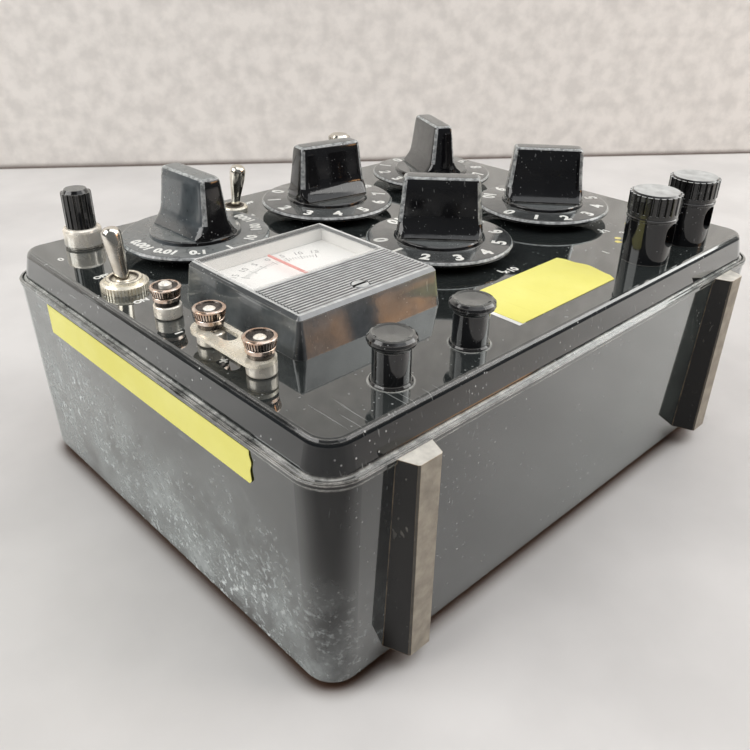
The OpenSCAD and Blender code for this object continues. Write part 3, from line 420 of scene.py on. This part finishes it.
side_low, side_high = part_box("side_label")
side_size = side_high - side_low
wall_slope = Vector((0.42 * mm - side_size.x, 0, side_size.z))
lean = wall_slope.normalized()
wall_turn = Matrix(((0, lean.x, -lean.z), (-1, 0, 0), (0, lean.z, lean.x))).to_euler()
side_tape = tape("side_tape", (side_low + side_high) / 2 - Vector((0.11 * mm, 0, 0)),
                 (side_size.y, wall_slope.length), wall_turn, 0.006, 3)
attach(side_tape, "bridge")
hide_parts("side_label")

# ---- Switch gear below the deck ------------------------------------------------------------------
# Each dial turns a shaft in a brass bushing. Its wiper sweeps brass studs on a brown laminated
# wafer that hangs on three pillars, with wire-wound spools under it and bars that join the wafers.
bushing_brass = surface("bushing_brass", (0.42, 0.30, 0.13), (0.62, 0.47, 0.22), (0.25, 0.45), 1.0,
                        patch=90, scratches=(0.4, (0.7, 0.56, 0.3)), bump=(0.1, 800))
coat(bushing_brass, "switch_bushings", "deck_nuts", "wafer_pillars", "contact_studs", "bus_bars",
     "key_contacts")
coat(screw_steel, "shaft_ratio", "shaft_thousands", "shaft_hundreds", "shaft_tens", "shaft_units")
coat(surface("laminate_board", (0.10, 0.045, 0.018), (0.19, 0.09, 0.04), (0.3, 0.5), patch=50,
             bump=(0.15, 500)), "switch_wafers")
coat(surface("spool_winding", (0.16, 0.07, 0.03), (0.34, 0.17, 0.07), (0.4, 0.6), patch=140,
             bump=(0.5, 1500)), "resistance_spools")

# ---- Battery box and cells -----------------------------------------------------------------------
# A pressed fibre box over the hatch holds three dry cells in paper jackets.
# The cells go in from below, through the hatch.
coat(surface("battery_fibre", (0.05, 0.04, 0.03), (0.1, 0.085, 0.065), (0.6, 0.8), patch=40,
             bump=(0.3, 600)), "battery_box")
coat(surface("cell_jacket", (0.2, 0.15, 0.07), (0.36, 0.28, 0.13), (0.4, 0.6), patch=30,
             bump=(0.1, 300)), "battery_cells")

# ---- Deck ----------------------------------------------------------------------------------------
# The deck is moulded like the case and polished like a mirror. Its flange lies in the case's rim, and
# the tie screws hold it there. Dust lies on it in fine specks, and use has left hair scratches.
deck_black = surface(
    "deck_phenolic", (0.005, 0.006, 0.007), (0.012, 0.014, 0.015), (0.03, 0.08), patch=12, shine=1.0,
    specks=(0.9, 420, 0.16, (0.7, 0.71, 0.7)), scratches=(0.4, (0.45, 0.46, 0.45)), bump=(0.02, 110),
    # Painted highlight: the near-white edge tone stands for the bright line along the deck's edges and
    # front bevel.
    dust_and_painted_reflection=[(0.06, (0.4, 0.42, 0.4), (0, 0, 1))], edge_wear_and_highlight=(1.5, 1.0, (0.82, 0.8, 0.76)))
coat(deck_black, "deck")

# ---- Dial knobs ----------------------------------------------------------------------------------
# Each knob is one phenolic moulding: a numbered skirt, a round foot and a bar grip whose wide faces
# flare out to the foot. All five are alike, so one is modelled and copied to each shaft.
case_y = 2.95          # middle of the case, behind the origin
deck_z = 87.1          # top face of the deck

knob_black = surface(
    "knob_phenolic", (0.003, 0.003, 0.004), (0.009, 0.009, 0.01), (0.05, 0.14), ior=1.56, patch=40,
    specks=(0.7, 600, 0.15, (0.45, 0.46, 0.46)), scratches=(0.5, (0.3, 0.31, 0.31)), bump=(0.05, 300),
    dust_and_painted_reflection=[(0.2, (0.35, 0.36, 0.36), (0, 0, 1))], shine=0.6,
    # The light edge tone is partly rubbed wear, partly a painted highlight.
    edge_wear_and_highlight=(0.5, 0.35, (0.4, 0.38, 0.35)))


def closed(piece, name, angle=35):
    """Leaves edit mode, names the piece, points its faces outwards and shades it."""
    if bpy.context.mode != "OBJECT":
        bpy.ops.object.mode_set(mode="OBJECT")
    opened(piece, lambda face: True)
    bpy.ops.mesh.normals_make_consistent(inside=False)
    bpy.ops.object.mode_set(mode="OBJECT")
    bpy.ops.object.transform_apply(location=True, rotation=True, scale=True)
    piece.name = piece.data.name = name
    bpy.ops.object.shade_smooth_by_angle(angle=math.radians(angle))
    return piece


def turned(rings, sides=96, place=(0, 0)):
    """A turned shape from its [radius, height] steps, from the bottom up, in millimetres."""
    x, y = place[0] * mm, place[1] * mm
    bpy.ops.mesh.primitive_circle_add(vertices=sides, radius=rings[0][0] * mm, fill_type="NGON",
                                      location=(x, y, rings[0][1] * mm))
    bpy.ops.object.transform_apply(location=True)
    bpy.ops.object.mode_set(mode="EDIT")
    bpy.ops.mesh.select_all(action="SELECT")
    for (r0, z0), (r1, z1) in zip(rings, rings[1:]):
        bpy.ops.mesh.extrude_region_move(TRANSFORM_OT_translate={"value": (0, 0, (z1 - z0) * mm)})
        bpy.ops.transform.resize(value=(r1 / r0, r1 / r0, 1), center_override=(x, y, z1 * mm))
    bpy.ops.object.mode_set(mode="OBJECT")
    return bpy.context.object


def joined(*parts):
    """Joins pieces into the first of them."""
    bpy.ops.object.select_all(action="DESELECT")
    for part in parts:
        part.select_set(True)
    bpy.context.view_layer.objects.active = parts[0]
    if len(parts) > 1:
        bpy.ops.object.join()
    return parts[0]


def cut(piece, tool, operation):
    """Applies a boolean of one piece with another, and removes the other."""
    bpy.ops.object.select_all(action="DESELECT")
    bpy.context.view_layer.objects.active = piece
    piece.select_set(True)
    step = piece.modifiers.new("cut", "BOOLEAN")
    step.operation, step.object, step.solver = operation, tool, "EXACT"
    bpy.ops.object.modifier_apply(modifier="cut")
    bpy.data.objects.remove(tool)
    return piece


def copied(piece, name, spin=0.0, place=(0, 0, 0)):
    """A copy with its own mesh, turned about the upright axis and moved, its place in its mesh."""
    mesh = piece.data.copy()
    mesh.transform(Matrix.Translation([v * mm for v in place])
                   @ Matrix.Rotation(math.radians(spin), 4, "Z"))
    copy = bpy.data.objects.new(name, mesh)
    copy.data.name = name
    bpy.context.scene.collection.objects.link(copy)
    return copy


grip_low = 6.9
skirt = turned([(27.2, 3.4), (27.6, 3.55), (27.7, 3.9), (27.7, 4.3), (27.45, 4.75), (27.0, 5.1),
                (26.4, 5.3), (17.5, 5.3), (17.1, 5.42), (17.0, 5.7), (17.0, 6.1), (16.8, 6.55),
                (16.3, grip_low), (12, grip_low)], 128)
wide, thick = 16.15, 9.3
bpy.ops.mesh.primitive_cube_add(size=1, location=(0, 0, (grip_low - 0.1) * mm),
                                scale=(2 * wide * mm, 2 * thick * mm, 0.2 * mm))
grip = bpy.context.object
bpy.ops.object.transform_apply(location=True, scale=True)
opened(grip, lambda edge: abs(grip.data.vertices[edge.vertices[0]].co.z
                              - grip.data.vertices[edge.vertices[1]].co.z) > 0.1 * mm, "EDGE")
bpy.ops.mesh.bevel(offset=3.4 * mm, segments=6, affect="EDGES")
bpy.ops.object.mode_set(mode="OBJECT")
opened(grip, lambda face: face.normal.z > 0.9)
height = grip_low
for next_wide, next_thick, next_height in (
        (16.1, 9.3, 7.5), (15.95, 8.3, 8.6), (15.8, 7.25, 9.9), (15.65, 6.55, 11.0), (15.5, 6.1, 12.0),
        (15.35, 5.85, 13.0), (15.1, 5.55, 15.2), (14.7, 5.1, 19.0), (14.25, 4.5, 24.6), (14.0, 4.15, 26.9),
        (13.75, 3.95, 27.5), (13.35, 3.6, 27.95), (12.7, 3.0, 28.22), (11.8, 2.2, 28.3)):
    bpy.ops.mesh.extrude_region_move(TRANSFORM_OT_translate={"value": (0, 0, (next_height - height) * mm)})
    bpy.ops.transform.resize(value=(next_wide / wide, next_thick / thick, 1), center_override=(0, 0, 0))
    wide, thick, height = next_wide, next_thick, next_height
bpy.ops.object.mode_set(mode="OBJECT")
bpy.ops.mesh.primitive_cone_add(vertices=128, radius1=16.75 * mm, radius2=15.2 * mm, depth=22.4 * mm,
                                location=(0, 0, 17.4 * mm))
grip = cut(grip, bpy.context.object, "INTERSECT")
pattern = closed(joined(skirt, grip), "knob_pattern", 28)
# Painted highlight: a lighter grey finish on the skirt's rim, the grip's rounded corners and its top edge,
# for the light those edges catch.
knob_edge_highlight = surface(
    "knob_painted_edge_highlight", (0.14, 0.145, 0.15), (0.46, 0.47, 0.47), (0.12, 0.3), ior=1.56, patch=620,
    shine=1.0, specks=(0.9, 700, 0.2, (0.7, 0.7, 0.68)), bump=(0.08, 500))
knob_dust_and_reflection = surface(
    "knob_dust_and_reflection_phenolic", (0.003, 0.003, 0.004), (0.01, 0.01, 0.011), (0.06, 0.16), ior=1.56, patch=40,
    shine=0.8, specks=(0.9, 500, 0.17, (0.5, 0.52, 0.52)), scratches=(0.5, (0.3, 0.31, 0.31)),
    bump=(0.06, 300),
    # Dust on faces that look up. The blue-grey film on faces that look left is partly dust, partly a
    # painted reflection of the window light.
    dust_and_painted_reflection=[(0.4, (0.45, 0.47, 0.47), (0, 0, 1)), (0.22, (0.36, 0.42, 0.46), (-1, 0, 0.12))])
pattern.data.materials.clear()
pattern.data.materials.append(knob_black)
pattern.data.materials.append(knob_edge_highlight)
# The faces that get the painted highlight.
for face in pattern.data.polygons:
    radius, height = math.hypot(face.center.x, face.center.y) / mm, face.center.z / mm
    rounded_corner = abs(face.normal.x) > 0.35 and abs(face.normal.y) > 0.35 and height > 12
    skirt_rim = radius > 27.1 and height > 4.2
    face.material_index = 1 if skirt_rim or rounded_corner or 27.4 < height < 28.25 else 0
# where each shaft stands, how its grip is turned at rest, and the ends of its travel
dials = {
    "ratio": (-61.7, 47.4, 91, (-90, 90)), "thousands": (3.6, 47.4, -9, (-150, 150)),
    "hundreds": (68.9, 47.4, 64, (-120, 180)), "tens": (3.6, -17, 133, (-180, 120)),
    "units": (68.9, -17, 131, (-210, 90))}
for name, (x, y, grip_turn, limits) in dials.items():
    knob = copied(pattern, "dial_knob_" + name, grip_turn, (x, case_y + y, deck_z))
    if name == "ratio":
        knob.data.materials[0] = knob_dust_and_reflection
    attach(knob, name + "_switch")
    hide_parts("knob_" + name)
bpy.data.objects.remove(pattern)

# ---- Dial figures --------------------------------------------------------------------------------
# The figures are cut into the skirts and filled with white paint: nought to ten on the decades and
# multipliers on the ratio dial. The number at the front mark is the one that is read.
paint_white = surface("white_paint", (0.7, 0.7, 0.66), (0.88, 0.88, 0.85), (0.45, 0.6), patch=200,
                      specks=(0.6, 900, 0.2, (0.4, 0.4, 0.38)))


def lettered(text, size, turn, place, weight=0.0):
    """A figure as a thin raised mesh, centred on its place."""
    bpy.ops.object.text_add()
    figure = bpy.context.object
    figure.data.body = text
    figure.data.size = size * mm
    figure.data.offset = weight * mm
    figure.data.extrude = 0.03 * mm
    figure.data.resolution_u = 5
    figure.data.align_x, figure.data.align_y = "CENTER", "CENTER"
    bpy.ops.object.convert(target="MESH")
    figure = bpy.context.object
    figure.data.transform(Matrix.Translation([v * mm for v in place])
                          @ Matrix.Rotation(math.radians(turn), 4, "Z"))
    return figure


skirt_top = 5.32
for name, (x, y, grip_turn, limits) in dials.items():
    if name == "ratio":
        words, reach, size, weight = ["{:g}".format(10 ** n) for n in range(-3, 4)], 22.6, 5.2, 0.26
    else:
        words, reach, size, weight = [str(n) for n in range(11)], 22.9, 7.2, 0.3
    figures = []
    for n, word in enumerate(words):
        angle = -90 - limits[1] + 30 * n
        spot = (x + reach * math.cos(math.radians(angle)),
                case_y + y + reach * math.sin(math.radians(angle)), deck_z + skirt_top)
        figures.append(lettered(word, size, angle + 90, spot, weight))
    figures = joined(*figures)
    figures.name = figures.data.name = "figures_" + name
    figures.data.materials.clear()
    figures.data.materials.append(paint_white)
    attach(figures, name + "_switch")

# ---- Keys ----------------------------------------------------------------------------------------
# Two black moulded push buttons with dished mushroom caps stand in thin bezels. A leaf spring under
# the deck lifts each one. Dust lies in the dish, the rim is rubbed, and a painted highlight lies along the
# edges.
for name in ("key_battery", "key_galvo"):
    coat(surface(name + "_moulding", (0.005, 0.005, 0.006), (0.015, 0.015, 0.016), (0.07, 0.18), ior=1.56,
                 patch=60, specks=(0.6, 800, 0.17, (0.35, 0.36, 0.36)), scratches=(0.6, (0.2, 0.21, 0.21)),
                 dust_and_painted_reflection=[(0.14, (0.35, 0.36, 0.34), (0, 0, 1))], bump=(0.06, 500), shine=0.8,
                 # The light edge tone is partly rubbed wear, partly a painted highlight.
                 edge_wear_and_highlight=(0.5, 0.5, (0.6, 0.58, 0.54))), name)
coat(knob_black, "key_bezels")

# ---- Toggle switches -----------------------------------------------------------------------------
# Nickel bat levers stand in threaded bushes. The left one has a knurled ring, the rear one a plain
# nut that has yellowed. The switch bodies below the deck are brown moulded boxes.
nickel = surface("nickel_plate", (0.62, 0.57, 0.48), (0.84, 0.81, 0.74), (0.1, 0.24), 1.0, patch=150,
                 specks=(0.45, 900, 0.15, (0.35, 0.28, 0.2)), scratches=(0.35, (0.85, 0.82, 0.75)),
                 bump=(0.04, 700))
old_nickel = surface("old_nickel", (0.84, 0.77, 0.62), (0.93, 0.89, 0.78), (0.2, 0.4), 0.5, patch=170,
                     specks=(0.6, 1000, 0.17, (0.3, 0.22, 0.14)), scratches=(0.4, (0.85, 0.8, 0.66)),
                     bump=(0.08, 900))
pivot_depth = 1.4      # the middle of a lever's ball, below the top of the deck
left_toggle = (-101.7, 28.5)
for name, (x, y), ball, tip in (("left", left_toggle, 3.7, -13), ("rear", (-27.2, 72.2), 2.8, 13)):
    neck = 0.65 * ball
    lever = turned([(1.3, -5.4), (1.3, -0.9 * ball), (0.7 * ball, -0.7 * ball), (0.95 * ball, -0.3 * ball),
                    (ball, 0), (0.95 * ball, 0.32 * ball), (0.8 * ball, 0.6 * ball), (neck, 0.78 * ball),
                    (neck, 4.5), (neck + 0.15, 8), (3.1, 16), (3.2, 19.2), (3.08, 20.2), (2.6, 21.1),
                    (1.8, 21.7), (0.9, 21.95), (0.2, 22)], 48)
    lever.data.transform(Matrix.Translation((x * mm, (case_y + y) * mm, (deck_z - pivot_depth) * mm))
                         @ Matrix.Rotation(math.radians(tip), 4, "X"))
    lever = closed(lever, "bat_lever_" + name, 40)
    lever.data.materials.append(nickel)
    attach(lever, name + "_toggle")
    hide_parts("lever_" + name)
sleeve = closed(turned([(6.05, 2.6), (6.05, 3.7), (5.8, 3.98), (5.0, 3.98), (4.5, 3.7), (4.42, 3.2)], 64),
                "toggle_sleeve", 40)
sleeve.data.transform(Matrix.Translation(
    (left_toggle[0] * mm, (case_y + left_toggle[1]) * mm, deck_z * mm)))
coat(old_nickel, "toggle_nut", "toggle_dress_ring")
sleeve.data.materials.append(old_nickel)
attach(sleeve, "bridge")
coat(surface("switch_moulding", (0.05, 0.04, 0.03), (0.12, 0.1, 0.08), (0.35, 0.55), 0.0, patch=50,
             bump=(0.1, 500)), "toggle_bodies")

# ---- Small posts ---------------------------------------------------------------------------------
# Three nickel posts carry knurled brass thumb nuts. The front two clamp a flat slotted link between
# them. The nuts have gone nearly black, and their ridges are rubbed back to a coppery tone.
cream_nickel = surface(
    "cream_nickel", (0.94, 0.86, 0.73), (0.97, 0.94, 0.87), (0.2, 0.36), 0.4, patch=130,
    specks=(0.5, 1000, 0.17, (0.4, 0.28, 0.16)), scratches=(0.3, (0.9, 0.86, 0.76)), bump=(0.05, 800))
dark_nickel = surface(
    "tarnished_nickel", (0.035, 0.03, 0.027), (0.13, 0.115, 0.105), (0.2, 0.42), 0.9, patch=300,
    specks=(0.8, 1300, 0.2, (0.4, 0.33, 0.28)), bump=(0.08, 1100))
copper_edge = surface(
    "rubbed_edge", (0.55, 0.38, 0.28), (0.86, 0.76, 0.68), (0.15, 0.3), 1.0, patch=420, bump=(0.05, 900))
flutes, knurl_low, knurl_high = 36, 3.3, 5.35
nut = turned([(2.2, 0), (3.75, 0), (3.75, 1.5), (4.3, 1.65), (4.3, 2.75), (4.1, 2.95), (3.9, 3.05),
              (4.42, knurl_low), (4.86, knurl_high), (4.9, 5.5), (4.86, 5.75), (4.6, 6.0), (4.2, 6.12),
              (3.8, 6.0), (3.6, 5.6), (2.3, 5.5), (2.15, 5.4)], 2 * flutes)
for finish in (dark_nickel, copper_edge):
    nut.data.materials.append(finish)
opened(nut, lambda face: knurl_low < face.center.z / mm < knurl_high and face.normal.z > -0.5
       and round(math.atan2(face.center.y, face.center.x) * flutes / math.pi - 0.5) % 2 == 0)
bpy.ops.mesh.inset(thickness=0.04 * mm, depth=-0.3 * mm, use_individual=True)
bpy.ops.object.mode_set(mode="OBJECT")
for face in nut.data.polygons:
    height, radius = face.center.z / mm, math.hypot(face.center.x, face.center.y) / mm
    ridge = knurl_low < height < 5.3 and radius > 4.4
    face.material_index = 1 if ridge or 1.6 < height < 2.9 or (height > 5.3 and radius > 3.9) else 0
nut = closed(nut, "nut_pattern", 30)
post_places = {"front": (-48.1, 5.44), "middle": (-24.0, 5.44), "back": (0.1, 4.24)}
for name, (y, rest_z) in post_places.items():
    piece = copied(nut, "knurled_nut_" + name, 7 * rest_z, (-102.2, case_y + y, deck_z + rest_z))
    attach(piece, name + "_nut")
    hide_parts("thumb_nut_" + name)
bpy.data.objects.remove(nut)
coat(cream_nickel, "post_bases")
coat(old_nickel, "shorting_link")

# ---- Corner and rear terminals -------------------------------------------------------------------
# The corner terminal has a plain nickel collar and a black fluted head, the rear one is all nickel.
# Both are clamped below the deck by a nut, and their heads screw down on a stud.
coat(cream_nickel, "corner_base", "corner_collar", "rear_base")
coat(nickel, "rear_head")
coat(knob_black, "corner_head")

# ---- Large terminals -----------------------------------------------------------------------------
# Each has an insulated body with a wire window, a brass stud with a nut below the deck, and a
# fluted cap that is screwed down on the wire.
for name in ("terminal_cap_left", "terminal_cap_right"):
    coat(surface(name, (0.006, 0.006, 0.006), (0.018, 0.018, 0.018), (0.12, 0.26), ior=1.56, patch=60,
                 specks=(0.7, 800, 0.17, (0.35, 0.36, 0.36)), scratches=(0.6, (0.2, 0.2, 0.2)),
                 dust_and_painted_reflection=[(1.0, (0.62, 0.63, 0.62), (0, 0, 1))], bump=(0.1, 500), shine=0.8), name)
coat(knob_black, "terminal_bodies")
coat(surface("stud_brass", (0.7, 0.36, 0.15), (0.95, 0.6, 0.32), (0.2, 0.4), 0.8, patch=120,
             bump=(0.1, 900)), "terminal_studs")

# ---- Galvanometer --------------------------------------------------------------------------------
# A square black housing with a ribbed cover sits over the movement's can. A clear acrylic window
# lies over a pale liner and a white card with a printed scale, and a red pointer stands at its middle.
meter_x, meter_y, pivot_y = -61.7, case_y - 21.2, case_y - 31.0
meter_black = surface(
    "meter_moulding", (0.010, 0.011, 0.012), (0.03, 0.032, 0.034), (0.16, 0.3), patch=40, ior=1.6,
    specks=(0.9, 700, 0.17, (0.5, 0.52, 0.52)), scratches=(0.6, (0.35, 0.36, 0.36)), bump=(0.1, 900),
    # Dust on the top faces. The blue-grey films on the ribbed front slope and the left faces are partly
    # dust, partly a painted reflection of the wall and window light.
    dust_and_painted_reflection=[(0.9, (0.72, 0.73, 0.72), (0, 0, 1)), (0.6, (0.6, 0.63, 0.66), (0, -0.7, 0.7)),
          (0.22, (0.4, 0.44, 0.46), (-1, 0, 0.15))],
    # Painted shade darkens the rib grooves and corners. The light edge tone is partly rubbed wear, partly
    # a painted highlight.
    painted_crevice_shade=(1.0, (0.01, 0.01, 0.01)), shine=0.8, edge_wear_and_highlight=(0.4, 0.5, (0.5, 0.5, 0.48)))
coat(meter_black, "meter_housing", "meter_cover", "zero_screw")
coat(surface("magnet_iron", (0.05, 0.05, 0.055), (0.12, 0.12, 0.13), (0.4, 0.6), 0.6, patch=60,
             bump=(0.2, 500)), "meter_movement")
coat(surface("pointer_red", (0.68, 0.12, 0.09), (0.8, 0.2, 0.15), (0.35, 0.5), patch=100), "meter_pointer")
coat(surface("dial_card", (0.88, 0.87, 0.84), (0.93, 0.92, 0.9), (0.6, 0.8), patch=30,
             specks=(0.25, 700, 0.12, (0.5, 0.48, 0.42))), "meter_dial")
clear = bpy.data.materials.new("clear_acrylic")
clear.use_nodes = True
tree = clear.node_tree
shader = tree.nodes["Principled BSDF"]
shader.inputs["Base Color"].default_value = (0.95, 0.95, 0.93, 1)
edge = tree.nodes.new("ShaderNodeBevel")
edge.inputs["Radius"].default_value = 0.9 * mm
geometry = tree.nodes.new("ShaderNodeNewGeometry")
turn_away = tree.nodes.new("ShaderNodeVectorMath")
turn_away.operation = "DOT_PRODUCT"
tree.links.new(edge.outputs["Normal"], turn_away.inputs[0])
tree.links.new(geometry.outputs["Normal"], turn_away.inputs[1])
# Painted highlight: the window turns whiter and more opaque near its edges, where the acrylic catches the
# light.
painted_edge_highlight = tree.nodes.new("ShaderNodeMapRange")
for socket, value in (("From Min", 0.99), ("From Max", 0.85), ("To Min", 0.14), ("To Max", 0.8)):
    painted_edge_highlight.inputs[socket].default_value = value
tree.links.new(turn_away.outputs["Value"], painted_edge_highlight.inputs["Value"])
tree.links.new(painted_edge_highlight.outputs["Result"], shader.inputs["Alpha"])
smears = tree.nodes.new("ShaderNodeTexNoise")
smears.inputs["Scale"].default_value = 60
place = tree.nodes.new("ShaderNodeTexCoord")
tree.links.new(place.outputs["Object"], smears.inputs["Vector"])
tree.links.new(smears.outputs["Fac"], shader.inputs["Roughness"])
coat(clear, "meter_window")
bpy.ops.mesh.primitive_cube_add(
    size=1, location=(meter_x * mm, (meter_y + 10.9) * mm, (deck_z + 9.2) * mm),
    scale=(53.3 * mm, 31.7 * mm, 4.2 * mm))
liner = bpy.context.object
bpy.ops.object.transform_apply(location=True, scale=True)
opened(liner, lambda face: abs(face.normal.z) > 0.9 or face.normal.y < -0.9)
bpy.ops.mesh.delete(type="FACE")
bpy.ops.object.mode_set(mode="OBJECT")
wall_thickness = liner.modifiers.new("wall", "SOLIDIFY")
wall_thickness.thickness, wall_thickness.offset = 0.3 * mm, -1
bpy.ops.object.modifier_apply(modifier="wall")
liner = closed(liner, "meter_liner", 30)
liner.data.materials.clear()
liner.data.materials.append(surface(
    "liner_grey", (0.68, 0.67, 0.64), (0.8, 0.79, 0.76), (0.5, 0.7), patch=60,
    specks=(0.6, 700, 0.17, (0.25, 0.25, 0.24)), bump=(0.1, 500)))
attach(liner, "bridge")
card_top = 7.0
tick_radius, figure_radius = 29.6, 33.4
marks = []
for n in range(-15, 16):
    long, broad = (3.0, 0.35) if n % 5 == 0 else (1.7, 0.2)
    angle = math.radians(90 + 2 * n)
    bpy.ops.mesh.primitive_cube_add(
        size=1, location=((meter_x + tick_radius * math.cos(angle)) * mm,
                          (pivot_y + tick_radius * math.sin(angle)) * mm, (deck_z + card_top + 0.03) * mm),
        rotation=(0, 0, angle), scale=(long * mm, broad * mm, 0.06 * mm))
    bpy.ops.object.transform_apply(location=True, rotation=True, scale=True)
    marks.append(bpy.context.object)
    if n % 5 == 0:
        marks.append(lettered(str(abs(n)), 3.6, 2 * n, (
            meter_x + figure_radius * math.cos(angle), pivot_y + figure_radius * math.sin(angle),
            deck_z + card_top + 0.02)))
scale_print = closed(joined(*marks), "meter_scale_print", 30)
scale_print.data.materials.clear()
scale_print.data.materials.append(
    surface("scale_ink", (0.22, 0.22, 0.22), (0.34, 0.34, 0.34), (0.5, 0.6), patch=200))
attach(scale_print, "bridge")

# ---- Deck label ----------------------------------------------------------------------------------
# A piece of the same yellow tape lies on the deck behind the keys, left blank. Its right end is torn,
# and at its left end a sliver of the white backing paper still shows from under it.
label_low, label_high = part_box("deck_label")
label_middle, label_size = (label_low + label_high) / 2, label_high - label_low
flat = Matrix.Identity(3).to_euler()
deck_tape = tape("deck_tape", Vector((label_middle.x, label_middle.y, label_low.z + 0.06 * mm)),
                 label_size.xy, flat, 0.03, 8)
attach(deck_tape, "bridge")
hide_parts("deck_label")
backing = tape("tape_backing", label_low + Vector((0.1 * mm, 7.15 * mm, 0.03 * mm)),
               (3.8 * mm, 14.7 * mm), flat, 0.04, 5, 0.05)
backing.data.materials[0] = surface("backing_paper", (0.7, 0.7, 0.68), (0.86, 0.86, 0.84), (0.6, 0.8),
                                    patch=150)
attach(backing, "bridge")

# ---- Deck marks ----------------------------------------------------------------------------------
# Small marks are engraved in the deck and filled with paint: multipliers and index lines in front of
# the dials, signs by the posts, numbers and yellow dots by the terminals. They are generic.
engraved = [("\u00d71000", 3.6, 3.6, 15.6), ("\u00d7100", 3.6, 68.9, 15.6), ("\u00d710", 4.4, 7.2, -48.6),
            ("\u00d71", 4.4, 69.0, -48.6), ("+", 5.0, -106.3, -36), ("\u2212", 5.0, -106.3, -12.6),
            ("ON", 3.2, -103.2, 15.4), ("OFF", 3.2, -103.2, 42.4), ("0", 4.0, -106.6, 66.5),
            ("1", 4.4, 48.8, -61.8), ("2", 4.4, 73.2, -54.6), ("ON", 3.2, -27.2, 61.5),
            ("OFF", 3.2, -17.4, 76)]
index_reach = 29.6     # from a shaft to its index line
marks = [lettered(text, size, 0, (x, case_y + y, deck_z + 0.01), 0.14) for text, size, x, y in engraved]
for x, y, grip_turn, limits in dials.values():
    bpy.ops.mesh.primitive_cube_add(
        size=1, location=(x * mm, (case_y + y - index_reach) * mm, (deck_z + 0.03) * mm),
        scale=(0.8 * mm, 2.6 * mm, 0.06 * mm))
    bpy.ops.object.transform_apply(location=True, scale=True)
    marks.append(bpy.context.object)
marks = joined(*marks)
marks.name = marks.data.name = "deck_marks"
marks.data.materials.clear()
marks.data.materials.append(paint_white)
dots = []
for x, y in ((62.6, -58.6), (66.0, -56.4), (81.4, -52), (84.8, -49.8)):
    dots.append(turned([(1.35, deck_z + 0.02), (1.35, deck_z + 0.05), (1.1, deck_z + 0.07)], 20,
                       (x, case_y + y)))
dots = closed(joined(*dots), "yellow_dots", 30)
dots.data.materials.append(
    surface("yellow_paint", (0.75, 0.6, 0.12), (0.9, 0.8, 0.3), (0.45, 0.6), patch=200))
for piece in (marks, dots):
    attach(piece, "bridge")
